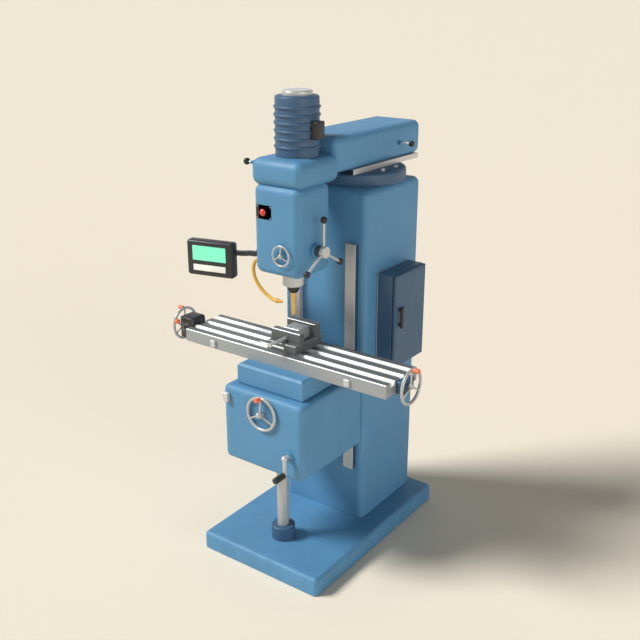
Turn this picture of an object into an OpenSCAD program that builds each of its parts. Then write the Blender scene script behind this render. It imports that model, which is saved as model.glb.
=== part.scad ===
// Knee-type vertical milling machine, in millimetres.
// Origin: middle of the base's underside. +X is the operator's right, the front faces -Y, +Z is up.

/* [Base and column] */
// Width of the base plate
base_w = 634; // [560:1:760]
// Depth of the base plate
base_d = 948; // [920:1:1100]
// Height of the base plate
base_h = 84; // [70:1:120]
// Wall of the base casting over its pockets
base_wall = 24; // [16:1:32]
// Width of the column
col_w = 430; // [400:1:480]
// Depth of the column
col_d = 412; // [380:1:440]
// Height of the column above the base
col_h = 1557; // [1540:1:1700]
// Distance of the column's front face behind the middle of the base
col_front = 8; // [0:1:12]
// Radius of the column's upright corners
col_round = 26; // [16:1:34]
// Wall of the column casting
col_wall = 26; // [20:1:40]

/* [Column slideways] */
// Width of each slideway
way_w = 54; // [44:1:60]
// Distance between the middles of the two slideways
way_pitch = 298; // [270:1:310]
// How far the slideways stand out from the column
way_proud = 23; // [18:1:26]
// Height of the slideways' lower end above the base
way_low = 264; // [200:1:276]
// Length of the slideways
way_len = 1067; // [1000:1:1110]

/* [Turret and ram] */
// Radius of the turret ring
turret_r = 210; // [190:1:215]
// Height of the turret ring
turret_h = 54; // [44:1:64]
// Distance of the turret's axis behind the column's front face
turret_back = 242; // [236:1:250]
// Width of the ram
ram_w = 250; // [236:1:270]
// Length of the ram
ram_len = 656; // [600:1:700]
// Height of the ram
ram_h = 140; // [130:1:160]
// Radius of the ram's edges
ram_round = 20; // [10:1:26]
// Distance of the ram's front face before the column's front face
ram_reach = 92; // [88:1:100]
// Thickness of the ground slideway under the ram
slide_t = 22; // [20:1:28]
// Length of the ground slideway under the ram
slide_len = 532; // [500:1:560]

/* [Head] */
// Distance of the spindle's axis before the column's front face
spindle_reach = 224; // [222:1:226]
// Width of the gear housing
gear_w = 254; // [244:1:270]
// Height of the gear housing
gear_h = 104; // [96:1:112]
// How far the gear housing hangs below the ram
gear_drop = 23; // [16:1:28]
// Radius of the gear housing's edges
gear_round = 32; // [20:1:36]
// Width of the head casting
head_w = 234; // [224:1:240]
// Depth of the head casting
head_d = 216; // [206:1:220]
// Height of the head casting
head_h = 363; // [350:1:372]
// Radius of the head casting's edges
head_round = 26; // [14:1:32]
// Distance of the motor's axis behind the spindle's axis
motor_back = 36; // [36:1:37]
// Radius of the motor's body
motor_r = 86; // [76:1:88]
// Height of the motor's body
motor_h = 229; // [220:1:250]
// Number of cooling ribs round the motor
rib_count = 7; // [4:1:8]
// How far the ribs stand out
rib_proud = 6; // [3:1:6]
// Radius of the motor's end cap
cap_r = 62; // [50:1:66]

/* [Quill and spindle] */
// Radius of the quill
quill_r = 45; // [40:1:48]
// Length of the quill that shows below the head
quill_out = 70; // [60:1:76]
// Length of the quill inside the head
quill_in = 210; // [190:1:230]
// Radius of the spindle in its quill
spindle_r = 20; // [17:1:22]
// Radius of the collet nut
nut_r = 25; // [24:1:30]
// Height of the collet nut
nut_h = 30; // [26:1:34]
// Radius of the end mill
mill_r = 11; // [6:1:12]
// Length of the end mill below the nut
mill_len = 103; // [80:1:106]
// Travel of the quill
quill_travel = 45; // [20:1:45]
// Distance from the feed levers' axis to their balls
lever_r = 132; // [120:1:140]
// Radius of the balls on the feed levers
lever_ball = 14.5; // [10:0.5:17]

/* [Knee and saddle] */
// Width of the knee
knee_w = 414; // [400:1:426]
// Distance of the knee's front before the column's front face
knee_reach = 445; // [440:1:460]
// Height of the knee
knee_h = 352; // [346:1:362]
// Height of the knee's underside above the base
knee_low = 395; // [393:1:400]
// Radius of the knee's edges
knee_round = 18; // [8:1:20]
// Wall of the knee casting
knee_wall = 22; // [18:1:28]
// Radius of the elevating post
post_r = 26; // [22:1:30]
// Height of the elevating post above the base
post_h = 406; // [404:1:408]
// Radius of the collar round the post's foot
collar_r = 53; // [46:1:60]
// Height of the collar
collar_h = 66; // [50:1:72]
// Distance of the post's axis before the column's front face
post_reach = 318; // [312:1:324]
// Distance of the crank's axis to the right of the middle
crank_x = 140; // [120:1:150]
// Throw of the elevating crank
crank_throw = 75; // [60:1:80]
// Width of the saddle
saddle_w = 347; // [330:1:360]
// Depth of the saddle
saddle_d = 295; // [280:1:298]
// Height of the saddle
saddle_h = 91; // [84:1:100]

/* [Table] */
// Length of the table
table_l = 1067; // [1000:1:1200]
// Width of the table
table_w = 236; // [230:1:240]
// Thickness of the table
table_h = 57.5; // [56:0.5:64]
// Distance between the middles of two T-slots
slot_pitch = 69; // [62:1:69]
// Width of a T-slot's neck
slot_neck = 16; // [12:1:18]
// Width of a T-slot's foot
slot_foot = 28; // [24:1:30]
// Width of a T-slot's bevelled mouth
slot_mouth = 34; // [30:1:36]
// Outer radius of the large handwheels
wheel_r = 79; // [70:1:84]
// Radius of the large handwheels' rims
rim_r = 6.5; // [5:0.5:7]
// Distance of the left handwheel beyond the table's end
left_wheel_out = 121; // [116:1:130]
// Distance of the right handwheel beyond the table's end
right_wheel_out = 44; // [42:1:56]

/* [Vise] */
// Width of the vise
vise_w = 150; // [130:1:160]
// Length of the vise's base
vise_l = 185; // [178:1:192]
// Height of the vise's base
vise_base_h = 40; // [36:1:44]
// Height of the fixed jaw above the base
jaw_h = 58; // [46:1:58]
// Size of the clamped block along Y
block_d = 76; // [60:1:78]
// Width of the clamped block
block_w = 80; // [50:1:120]
// Height of the clamped block
block_h = 49; // [30:1:49]

/* [Cabinet] */
// Depth of the cabinet along the column's side
cab_d = 254; // [220:1:280]
// Height of the cabinet
cab_h = 430; // [360:1:460]
// How far the cabinet's box stands out from the column
cab_out = 80; // [60:1:90]
// Thickness of the cabinet's door
door_t = 18; // [14:1:22]

/* [Readout] */
// Width of the display case
case_w = 222; // [200:1:240]
// Height of the display case
case_h = 152; // [130:1:160]
// Thickness of the display case
case_t = 52; // [40:1:54]
// Angle at which the display is turned towards the operator
case_turn = 14; // [0:1:20]

/* [Hidden] */

// Paints
main_blue = [0.40, 0.59, 0.72];
dark_blue = [0.28, 0.38, 0.49];
steel = [0.72, 0.73, 0.74];
dark_steel = [0.36, 0.37, 0.39];
table_grey = [0.56, 0.58, 0.58];
black = [0.13, 0.13, 0.14];
orange = [0.95, 0.42, 0.16];

// Fits: a running fit, a slide fit and the gap between painted castings
run = 0.05;
slide = 0.2;
seam = 1;
// How far a shaft enters the nose of its handwheel
shaft_seat = 4;
// Facets of a full circle
$fn = 48;

// Heights, from the floor up
col_top = base_h + col_h;
turret_top = col_top + turret_h;
ram_low = turret_top + slide_t;
ram_top = ram_low + ram_h;
gear_low = ram_low - gear_drop;
gear_top = gear_low + gear_h;
head_low = gear_low - head_h;
motor_top = gear_top + motor_h;
quill_low = head_low - quill_out;
nut_low = quill_low - nut_h;
mill_low = nut_low - mill_len;
knee_z = base_h + knee_low;
knee_top = knee_z + knee_h;
table_low = knee_top + saddle_h;
table_top = table_low + table_h;
vise_bed = table_top + vise_base_h;

// Places from front to back
col_back = col_front + col_d;
ways_front = col_front - way_proud;
turret_y = col_front + turret_back;
ram_front = col_front - ram_reach;
spindle_y = col_front - spindle_reach;
motor_y = spindle_y + motor_back;
head_front = spindle_y - head_d / 2;
gear_front = head_front - 6;
gear_d = ram_front - gear_front;
knee_front = col_front - knee_reach;
knee_back = col_front - seam;
post_y = col_front - post_reach;
table_y = spindle_y + 8;
table_front = table_y - table_w / 2;

// Column and ram
spigot_r = 80;
spigot_h = 20;
key_w = 100;
key_neck = 76;
tilt_z = ram_low + 40;
tilt_pin_r = 34;
tilt_pin_len = 30;

// Gears of the spindle drive: the rotor's pinion and the sleeve's wheel, of one module
gear_module = 2;
pinion_teeth = 12;
wheel_teeth = 24;
gear_z = gear_low + 30;
gear_face = 16;

// Quill feed
feed_y = spindle_y - 12;
feed_z = head_low + 102;
feed_plane = head_w / 2 + 48;
feed_hub_r = 24;
feed_rod_r = 5.5;

// Knee and saddle guides
groove_w = 120;
groove_d = 20;
groove_in = 55;
groove_front = knee_front + groove_in;
nut_slot = 31;
cross_z = knee_top - 79;
cross_r = 9;
cross_wheel_y = knee_front - 10;
crank_z = knee_z + 117;
crank_y = knee_front - 33;
bridge_drop = 131;
bridge_z = knee_top - bridge_drop;
bridge_t = 15;
lift_screw_r = 12;
saddle_front = knee_front + 47;

// Table guide and screw
guide_w = 84;
guide_d = 14;
screw_r = 8;
screw_z = table_low + 24;
channel_w = 23;
left_wheel_x = -table_l / 2 - left_wheel_out;
right_wheel_x = table_l / 2 + right_wheel_out;

// Power-feed box and the pivot of its trip lever
feed_box = [86, 90, 107];
feed_box_y = table_y - 27;
feed_box_z = screw_z - 43;
trip_x = -table_l / 2 - 50;
trip_y = feed_box_y - feed_box[1] / 2 - 5;
trip_z = screw_z + 12;

// Vise
vise_x = -10;
vise_front = table_y - slot_pitch - slot_mouth / 2 + 1;
fixed_jaw_t = 38;
fixed_jaw_y = vise_front + vise_l - fixed_jaw_t - 8;
moving_jaw_t = 33;
moving_jaw_y = fixed_jaw_y - block_d - moving_jaw_t;
keel_w = 36;
keel_d = 18;
vise_screw_z = vise_bed + 15;
vise_screw_r = 7;
bar_y = moving_jaw_y - 98;

// Cabinet
cab_y = col_front + 87;
cab_z = base_h + 760;
hinge_r = 5;
hinge_x = col_w / 2 + cab_out + 5;
hinge_y = cab_y + cab_d + 6;

// Readout
arm_z = head_low + 58;
arm_y = spindle_y - 9;
arm_r = 10.5;
knuckle_r = 13;
knuckle_h = 2 * arm_r + 9.6;
arm_pivot_x = -head_w / 2 - 26;
case_x = -413;
case_back_y = arm_y - 15;
case_z = head_low - 8;
// The tilt pivot stands this far behind the case
tilt_gap = 21;
eye_r = 8;
eye_w = 16;
eye = [case_x - tilt_gap * sin(case_turn), case_back_y + tilt_gap * cos(case_turn), case_z + 6];

// The coolant hose's route in the plane of its nozzle: x, and the height over the head's underside
hose_y = spindle_y - 34;
hose_r = 7.5;
hose_route = [
  [-121.4, 31], [-134, 31], [-154, 27], [-172, 15], [-184, -4], [-188, -25], [-186, -45],
  [-180, -64], [-169, -82], [-154, -100], [-135, -116], [-115, -128], [-95, -138],
  [-78, -142.5], [-68, -143], [-58, -143]
];
hose_points = [for (p = hose_route) [p[0], head_low + p[1]]];

// Plan of a box with round corners
module round_rect(w, d, r) {
  union() {
    square([w - 2 * r, d], center = true);
    square([w, d - 2 * r], center = true);
    for (sx = [-1, 1], sy = [-1, 1]) translate([sx * (w / 2 - r), sy * (d / 2 - r)]) circle(r);
  }
}

// A box standing on z = 0, its upright edges rounded by rv and its other edges by rh
module soft_box(w, d, h, rv, rh) {
  intersection() {
    linear_extrude(h) round_rect(w, d, rv);
    translate([0, d / 2, h / 2]) rotate([90, 0, 0]) linear_extrude(d) round_rect(w, h, rh);
    translate([-w / 2, 0, h / 2]) rotate([90, 0, 90]) linear_extrude(w) round_rect(d, h, rh);
  }
}

// The same box with a flat underside whose edges stay sharp
module seated_box(w, d, h, rv, rh) {
  intersection() {
    translate([0, 0, -rh]) soft_box(w, d, h + rh, rv, rh);
    translate([-w, -d, 0]) cube([2 * w, 2 * d, 2 * h]);
  }
}

// A box standing on z = 0 with all edges of its top bevelled
module bevel_box(w, d, h, b) {
  intersection() {
    translate([0, d / 2, 0]) rotate([90, 0, 0]) linear_extrude(d)
      polygon([[-w / 2, 0], [w / 2, 0], [w / 2, h - b], [w / 2 - b, h], [b - w / 2, h], [-w / 2, h - b]]);
    translate([-w / 2, 0, 0]) rotate([90, 0, 90]) linear_extrude(w)
      polygon([[-d / 2, 0], [d / 2, 0], [d / 2, h - b], [d / 2 - b, h], [b - d / 2, h], [-d / 2, h - b]]);
  }
}

// A plain box from one corner to the other
module block(low, high) {
  translate(low) cube(high - low);
}

// Cylinders along X and Y
module rod_x(r, x0, x1) {
  translate([x0, 0, 0]) rotate([0, 90, 0]) cylinder(r = r, h = x1 - x0);
}
module rod_y(r, y0, y1) {
  translate([0, y1, 0]) rotate([90, 0, 0]) cylinder(r = r, h = y1 - y0);
}

// A round bar from one point to another
module strut(p, q, r) {
  v = q - p;
  translate(p) rotate([0, acos(v[2] / norm(v)), atan2(v[1], v[0])]) cylinder(r = r, h = norm(v));
}

// A disc with bevelled edges
module disc(r, h, b) {
  rotate_extrude() polygon([[0, 0], [r, 0], [r, h - b], [r - b, h], [0, h]]);
}

// A straight grip that turns on a pin: round-ended, bored for the pin, standing on z = 0
module grip(r, len, pin_r, end = 0) {
  e = end > 0 ? end : r;
  rotate_extrude() difference() {
    union() {
      polygon([[0, 0], [r - 1.5, 0], [r, 1.5], [r, len - e], [r - e, len - e], [r - e, len], [0, len]]);
      translate([r - e, len - e]) intersection() {
        circle(e);
        square(e);
      }
    }
    square([pin_r + run, len - r]);
  }
}

// A spoked handwheel in the plane z = 0, its hub standing a dish's depth towards +Z, with a pin
// for its grip
module handwheel(outer, tube, hub, spoke, hub_len, dish, bore, pin_r, pin_len) {
  ring = outer - tube;
  difference() {
    union() {
      rotate_extrude($fn = 96) translate([ring, 0]) circle(tube);
      for (a = [90, 210, 330]) rotate([0, 0, a]) strut([0, 0, 0.7 * dish], [ring, 0, 0], spoke);
      translate([0, 0, -hub_len]) cylinder(r = hub, h = hub_len + dish);
      translate([0, 0, dish]) sphere(hub);
    }
    translate([0, 0, -hub_len - hub]) cylinder(r = bore, h = hub_len + hub + shaft_seat);
  }
  if (pin_len > 0) translate([0, ring, 0]) cylinder(r = pin_r, h = tube + pin_len);
}

// A gear blank with straight-sided teeth, narrow enough to run with backlash
module spur(teeth, face, phase) {
  pitch = gear_module * teeth / 2;
  root = pitch - 1.25 * gear_module;
  tip = pitch + 0.75 * gear_module;
  step = 360 / teeth;
  linear_extrude(face) polygon([
    for (i = [0:teeth - 1], k = [0:3])
      let (a = phase + i * step + [-0.22, -0.1, 0.1, 0.22][k] * step, r = [root, tip, tip, root][k])
        [r * cos(a), r * sin(a)]
  ]);
}

// A tube swept along points in the plane y = 0, as one closed polyhedron
function turn_at(p, i) =
  let (a = p[max(i - 1, 0)], b = p[min(i + 1, len(p) - 1)]) atan2(b[1] - a[1], b[0] - a[0]);
module swept(p, r, sides) {
  rings = len(p);
  points = [
    for (i = [0:rings - 1], k = [0:sides - 1])
      let (t = turn_at(p, i), c = r * cos(360 * k / sides), s = r * sin(360 * k / sides))
        [p[i][0] - c * sin(t), s, p[i][1] + c * cos(t)]
  ];
  walls = [
    for (i = [0:rings - 2], k = [0:sides - 1])
      let (a = i * sides + k, b = i * sides + (k + 1) % sides)
        each [[a, b, b + sides], [a, b + sides, a + sides]]
  ];
  caps = [[for (k = [sides - 1:-1:0]) k], [for (k = [0:sides - 1]) (rings - 1) * sides + k]];
  polyhedron(points, concat(walls, caps), convexity = 6);
}

module base() {
  cells = [3, 2];
  inner = [base_w - 2 * base_wall, base_d - 2 * base_wall];
  cell = [for (i = [0, 1]) (inner[i] - (cells[i] - 1) * base_wall) / cells[i]];
  color(main_blue) difference() {
    seated_box(base_w, base_d, base_h, 24, 14);
    for (i = [0:cells[0] - 1], j = [0:cells[1] - 1])
      translate([i * (cell[0] + base_wall) - inner[0] / 2, j * (cell[1] + base_wall) - inner[1] / 2, -1])
        cube([cell[0], cell[1], base_h - base_wall + 1]);
  }
}

module column() {
  mid = [0, (col_front + col_back) / 2, base_h];
  roof = 50;
  color(main_blue) difference() {
    translate(mid) seated_box(col_w, col_d, col_h, col_round, 12);
    translate(mid - [0, 0, 1]) linear_extrude(col_h - roof + 1)
      round_rect(col_w - 2 * col_wall, col_d - 2 * col_wall, col_round);
    translate([0, turret_y, col_top - spigot_h - seam]) cylinder(r = spigot_r + run, h = spigot_h + 2);
  }
  // Screwed cover over the opening in the back
  cover = [250, 4, 520];
  color(dark_blue) translate([0, col_back, base_h + 820]) {
    translate([0, cover[1], 0]) rotate([90, 0, 0]) linear_extrude(cover[1] + 1)
      round_rect(cover[0], cover[2], 8);
    for (x = [-1, 1], z = [-1:1])
      translate([x * (cover[0] / 2 - 14), 0, z * (cover[2] / 2 - 14)]) rod_y(6, 0, cover[1] + 3);
  }
}

module column_ways() {
  bevel = 2;
  color(steel) for (s = [-1, 1])
    translate([s * way_pitch / 2, col_front, base_h + way_low]) linear_extrude(way_len)
      polygon([
        [-way_w / 2, 0], [-way_w / 2, bevel - way_proud], [bevel - way_w / 2, -way_proud],
        [way_w / 2 - bevel, -way_proud], [way_w / 2, bevel - way_proud], [way_w / 2, 0]
      ]);
}

module post_collar() {
  color(dark_blue) translate([0, post_y, base_h]) difference() {
    disc(collar_r, collar_h, 3);
    translate([0, 0, -1]) cylinder(r = post_r, h = collar_h + 2);
  }
}

module elevating_post() {
  nut_len = 40;
  color(steel) translate([0, post_y, base_h]) difference() {
    disc(post_r, post_h, 2);
    translate([0, 0, -1]) cylinder(r = lift_screw_r + 3, h = post_h - nut_len + 1);
    cylinder(r = lift_screw_r + run, h = post_h + 1);
  }
}

module cabinet_box() {
  wall = 4;
  inside = [cab_out - wall, cab_d - 2 * wall, cab_h - 2 * wall];
  color(dark_blue) translate([col_w / 2, cab_y, cab_z]) difference() {
    translate([cab_out / 2, cab_d / 2, 0]) soft_box(cab_out, cab_d, cab_h, 3, 3);
    translate([wall, wall, wall]) cube(inside + [1, 0, 0]);
  }
  // Mounting plate with its contactors and a terminal row
  color(steel) translate([col_w / 2 + wall, cab_y, cab_z]) {
    translate([0, 20, 20]) cube([3, cab_d - 40, cab_h - 40]);
    for (k = [0:2]) translate([3, 40 + k * 60, cab_h - 150]) cube([48, 45, 80]);
    translate([3, 40, 60]) cube([32, cab_d - 80, 40]);
  }
}

module hinge_knuckles(first) {
  knuckle = 15;
  for (z = [cab_h * 0.22, cab_h * 0.64]) translate([hinge_x, hinge_y, cab_z + z]) {
    if (first) {
      for (k = [0, 2]) translate([0, 0, k * (knuckle + 0.3)]) cylinder(r = hinge_r, h = knuckle);
      cylinder(r = 2, h = 3 * knuckle + 0.6);
      for (k = [0, 2]) translate([-16, -hinge_r - 1, k * (knuckle + 0.3)]) cube([16, hinge_r, knuckle]);
    } else translate([0, 0, knuckle + 0.3]) difference() {
      union() {
        translate([0, 0, 0.15]) cylinder(r = hinge_r, h = knuckle - 0.3);
        translate([1.2, -hinge_r - 3, 0.15]) cube([3.8, hinge_r + 3, knuckle - 0.3]);
      }
      translate([0, 0, -1]) cylinder(r = 2 + run, h = knuckle + 2);
    }
  }
}

module cabinet_hinges() {
  color(steel) hinge_knuckles(true);
}

module cabinet_door() {
  door_x = col_w / 2 + cab_out + 0.6;
  color(dark_blue) {
    translate([door_x + door_t / 2, cab_y + cab_d / 2, cab_z])
      soft_box(door_t, cab_d, cab_h, 8, 8);
    hinge_knuckles(false);
  }
}

module cabinet_handle() {
  len = 100;
  handle_x = col_w / 2 + cab_out + 0.6 + door_t;
  color(black) translate([handle_x, cab_y + 34, cab_z + cab_h * 0.555]) {
    translate([15, 0, -len / 2]) soft_box(12, 18, len, 5, 5);
    for (s = [-1, 1]) translate([0, -5, s * (len / 2 - 16) - 6]) cube([11, 10, 12]);
  }
}

module turret_ring() {
  // The dovetail key that the ram's slideway runs on
  key_len = 300;
  key_h = slide_t - 2;
  color(dark_blue) translate([0, turret_y, col_top]) {
    disc(turret_r, turret_h, 8);
    translate([0, 0, -spigot_h]) cylinder(r = spigot_r, h = spigot_h);
    translate([0, key_len / 2, turret_h]) rotate([90, 0, 0]) linear_extrude(key_len)
      polygon([[-key_neck / 2, 0], [key_neck / 2, 0], [key_w / 2, key_h], [-key_w / 2, key_h]]);
  }
}

module turret_bolts() {
  color(steel) translate([0, turret_y, turret_top])
    for (a = [17, -17, 163, 197]) rotate([0, 0, a]) translate([turret_r - 35, 0, 0])
      cylinder(r = 9, h = 9, $fn = 6);
}

module ram() {
  color(main_blue) difference() {
    translate([0, ram_front + ram_len / 2, ram_low]) soft_box(ram_w, ram_len, ram_h, ram_round, ram_round);
    translate([0, 0, tilt_z]) rod_y(tilt_pin_r + run, ram_front - 1, ram_front + tilt_pin_len + 1);
  }
  // Screwed cover over the ram's rear end
  back = [0, ram_front + ram_len, ram_low + ram_h / 2];
  color(dark_blue) translate(back) {
    translate([0, 4, 0]) rotate([90, 0, 0]) linear_extrude(5) round_rect(ram_w - 60, ram_h - 50, 8);
    for (x = [-1, 1], z = [-1, 1]) translate([x * (ram_w / 2 - 42), 0, z * (ram_h / 2 - 36)]) rod_y(5, 0, 7);
  }
  // Boss that carries the lock lever
  color(main_blue) translate([ram_w / 2 - 1, ram_front + 479, ram_low + 69]) difference() {
    union() {
      rod_x(10, 0, 5);
      for (s = [-1, 1]) translate([4, s * 8 - 2.5, -6]) cube([12, 5, 12]);
    }
    translate([10, 0, 0]) rod_y(3 + run, -20, 20);
  }
}

module ram_slideway() {
  color(steel) translate([0, ram_front + ram_len, turret_top]) difference() {
    translate([-ram_w / 2 + 3, -slide_len, 0]) cube([ram_w - 6, slide_len, slide_t]);
    translate([0, 1, 0]) rotate([90, 0, 0]) linear_extrude(slide_len + 2) polygon([
      [-key_neck / 2 - slide, -1], [key_neck / 2 + slide, -1], [key_w / 2 + slide + 1, slide_t - 1],
      [-key_w / 2 - slide - 1, slide_t - 1]
    ]);
  }
}

// A rod with a ball on its end, pivoted on a cross pin between two ears
module ball_lever(len, rod, ball) {
  rod_x(rod, 4, len - ball + 2);
  translate([len, 0, 0]) sphere(ball);
  difference() {
    rod_y(4.8, -5.3, 5.3);
    rod_y(3, -20, 20);
  }
  rod_y(3, -10.5, 10.5);
}

module ram_lock_lever() {
  color(black) translate([ram_w / 2 + 9, ram_front + 479, ram_low + 69]) ball_lever(56, 4, 13.5);
}

module gear_housing() {
  wall = 14;
  cavity = gear_h - 2 * wall;
  color(main_blue) translate([0, 0, gear_low]) {
    difference() {
      translate([0, gear_front + gear_d / 2, 0]) soft_box(gear_w, gear_d, gear_h, gear_round, gear_round);
      // Room for the gears, open to the head below and to the motor above
      translate([0, spindle_y, -1]) cylinder(r = 34, h = wall + cavity + 1);
      translate([0, motor_y, wall]) cylinder(r = 34, h = cavity);
      translate([0, motor_y, wall]) cylinder(r = 13, h = gear_h);
    }
    translate([0, 0, tilt_z - gear_low]) rod_y(tilt_pin_r, ram_front - 2, ram_front + tilt_pin_len);
    // Ears of the brake lever
    translate([-gear_w / 2 + 1, spindle_y - 81, gear_h * 0.76]) rotate([0, 0, 180]) difference() {
      union() {
        rod_x(10, -12, 5);
        for (s = [-1, 1]) translate([4, s * 8 - 2.5, -6]) cube([12, 5, 12]);
      }
      translate([10, 0, 0]) rod_y(3 + run, -20, 20);
    }
  }
}

module brake_lever() {
  color(black) translate([-gear_w / 2 - 9, spindle_y - 81, gear_low + gear_h * 0.76])
    rotate([0, 0, 180]) ball_lever(31, 5, 14);
}

module head_casting() {
  bore_top = quill_in + quill_travel + 10;
  sleeve_r = 28;
  mid = [0, spindle_y, head_low];
  color(main_blue) translate(mid) difference() {
    soft_box(head_w, head_d, head_h, head_round, head_round + 2);
    translate([0, 0, -1]) cylinder(r = quill_r + run, h = bore_top + 1);
    cylinder(r = sleeve_r + run, h = head_h + 1);
    // Bore of the feed shaft and the pocket where its pinion meets the quill
    translate([0, feed_y - spindle_y, feed_z - head_low]) rod_x(11 + run, 10, head_w);
    translate([36, -spindle_y, 90]) rod_y(5 + run, head_front - 1, head_front + 42);
  }
  // Bosses of the feed hub and of the fine-feed wheel
  color(main_blue) translate([0, feed_y, feed_z]) difference() {
    rod_x(30, head_w / 2 - 2, head_w / 2 + 16);
    rod_x(11 + run, head_w / 2 - 3, head_w / 2 + 20);
  }
  color(main_blue) translate([36, 0, head_low + 90]) difference() {
    rod_y(14, head_front - 8, head_front);
    rod_y(5 + run, head_front - 9, head_front + 1);
  }
}

module motor_body() {
  rib_t = 9;
  first = 31;
  pitch = (motor_h - first - 20) / (rib_count - 1);
  edge = 10;
  color(dark_blue) translate([0, motor_y, gear_top]) difference() {
    rotate_extrude($fn = 96) union() {
      square([motor_r, motor_h - edge]);
      square([motor_r - edge, motor_h]);
      translate([motor_r - edge, motor_h - edge]) circle(edge);
      for (k = [0:rib_count - 1]) translate([0, first + k * pitch - rib_t / 2]) {
        square([motor_r + rib_proud - 2, rib_t]);
        translate([0, 2]) square([motor_r + rib_proud, rib_t - 4]);
      }
    }
    translate([0, 0, -1]) cylinder(r = 13, h = 40);
    translate([0, 0, 30]) cylinder(r = 60, h = motor_h - 60);
  }
}

module motor_cap() {
  color([0.82, 0.82, 0.81]) translate([0, motor_y, motor_top]) rotate_extrude($fn = 96) polygon([
    [0, 0], [cap_r, 0], [cap_r, 6], [cap_r - 2, 9], [cap_r - 8, 12], [cap_r - 22, 14.5], [0, 16]
  ]);
}

module terminal_box() {
  low_z = gear_top + 64;
  color(black) intersection() {
    translate([motor_r + 10, motor_y, low_z]) soft_box(48, 58, 76, 4, 4);
    difference() {
      translate([0, motor_y - 60, low_z - 5]) cube([200, 120, 100]);
      translate([0, motor_y, low_z - 6]) cylinder(r = motor_r + rib_proud, h = 102, $fn = 96);
    }
  }
}

module switch_plate() {
  color(black) translate([-57, head_front - 8, head_low + 226]) difference() {
    translate([0, 8, 0]) rotate([90, 0, 0]) linear_extrude(8) translate([0, 29])
      round_rect(78, 58, 4);
    translate([0, 0, 29]) rod_y(7 + slide, -1, 9);
  }
}

module push_button() {
  travel = 4;
  color([0.85, 0.12, 0.1]) translate([-57, head_front - 8, head_low + 255]) {
    rod_y(7, -travel - 0.5, 2);
    rotate([90, 0, 0]) translate([0, 0, travel + 0.5]) rotate_extrude() intersection() {
      translate([0, -6]) circle(17);
      square([14, 12]);
    }
  }
}

module motor_rotor() {
  color(steel) translate([0, motor_y, 0]) {
    translate([0, 0, gear_top + 36]) cylinder(r = 54, h = motor_h - 72);
    translate([0, 0, gear_z]) cylinder(r = 9, h = motor_h + gear_top - gear_z - 30);
    translate([0, 0, gear_z]) spur(pinion_teeth, gear_face, -90 + 180 / pinion_teeth);
  }
}

module drive_sleeve() {
  hex_r = 15;
  color(steel) translate([0, spindle_y, 0]) difference() {
    union() {
      translate([0, 0, head_low + quill_in + quill_travel + 14])
        cylinder(r = 28, h = gear_z - head_low - quill_in - quill_travel - 18);
      translate([0, 0, gear_z - 5]) cylinder(r = 20, h = 6);
      translate([0, 0, gear_z]) spur(wheel_teeth, gear_face, 90);
    }
    translate([0, 0, head_low]) cylinder(r = hex_r + 0.4, h = head_h + gear_h, $fn = 6);
  }
}

module quill() {
  color([0.78, 0.78, 0.77]) translate([0, spindle_y, quill_low]) difference() {
    union() {
      rotate_extrude() polygon([
        [0, 0], [quill_r - 5, 0], [quill_r, 5], [quill_r, quill_out + quill_in], [0, quill_out + quill_in]
      ]);
    }
    translate([0, 0, -1]) cylinder(r = spindle_r + run, h = quill_out + quill_in + 2);
  }
}

module spindle() {
  hex_r = 15;
  color(steel) translate([0, spindle_y, quill_low]) {
    translate([0, 0, -6]) cylinder(r = spindle_r, h = quill_out + quill_in + 12);
    cylinder(r = hex_r, h = gear_z + gear_face + 4 - quill_low, $fn = 6);
  }
}

module collet_nut() {
  color(black) translate([0, spindle_y, nut_low]) difference() {
    rotate_extrude() polygon([
      [0, 0], [nut_r - 6, 0], [nut_r, nut_h * 0.4], [nut_r, nut_h - 0.5], [0, nut_h - 0.5]
    ]);
    translate([0, 0, nut_h - 6.5]) cylinder(r = spindle_r, h = 10);
    translate([0, 0, -1]) cylinder(r = mill_r, h = nut_h);
  }
}

module end_mill() {
  shank = 20;
  color([0.85, 0.66, 0.25]) translate([0, spindle_y, mill_low]) {
    translate([0, 0, mill_r]) cylinder(r = mill_r, h = mill_len + shank - mill_r);
    translate([0, 0, mill_r]) sphere(mill_r);
  }
}

module feed_levers() {
  color(steel) translate([0, feed_y, feed_z]) {
    rod_x(11, quill_r + 5, feed_plane);
    rod_x(feed_hub_r, head_w / 2 + 18, feed_plane + 14);
    for (a = [90, 210, 330]) rotate([a, 0, 0]) translate([feed_plane, 0, 0])
      rotate([-90, 0, 0]) cylinder(r = feed_rod_r, h = lever_r - lever_ball + 2);
  }
}

module feed_lever_balls() {
  color(black) translate([feed_plane, feed_y, feed_z])
    for (a = [90, 210, 330]) rotate([a, 0, 0]) translate([0, lever_r, 0]) difference() {
      sphere(lever_ball);
      translate([0, -lever_ball - 1, 0]) rotate([-90, 0, 0]) cylinder(r = feed_rod_r + run, h = 3);
    }
}

module fine_feed_wheel() {
  wheel_y = head_front - 20;
  color(steel) translate([36, wheel_y, head_low + 90]) {
    rotate([90, 0, 0]) handwheel(45, 4, 9, 3, 10, 5, 0, 0);
    rod_y(5, -shaft_seat, 60);
  }
}

module hose_fittings() {
  last = hose_points[len(hose_points) - 1];
  socket = hose_r + 0.4;
  color(steel) translate([0, hose_y, hose_points[0][1]]) rotate([0, 0, 180]) difference() {
    rod_x(hose_r + 3, head_w / 2, head_w / 2 + 16);
    rod_x(socket, head_w / 2 + 4, head_w / 2 + 17);
  }
  color(steel) translate([last[0] - 10, hose_y, last[1]]) rotate([0, 90, 0]) difference() {
    union() {
      cylinder(r = hose_r + 2.5, h = 14);
      translate([0, 0, 14]) cylinder(r1 = hose_r + 1, r2 = 4.5, h = 20);
    }
    translate([0, 0, -1]) cylinder(r = socket, h = 11.4);
    cylinder(r = 3, h = 50);
  }
}

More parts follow.
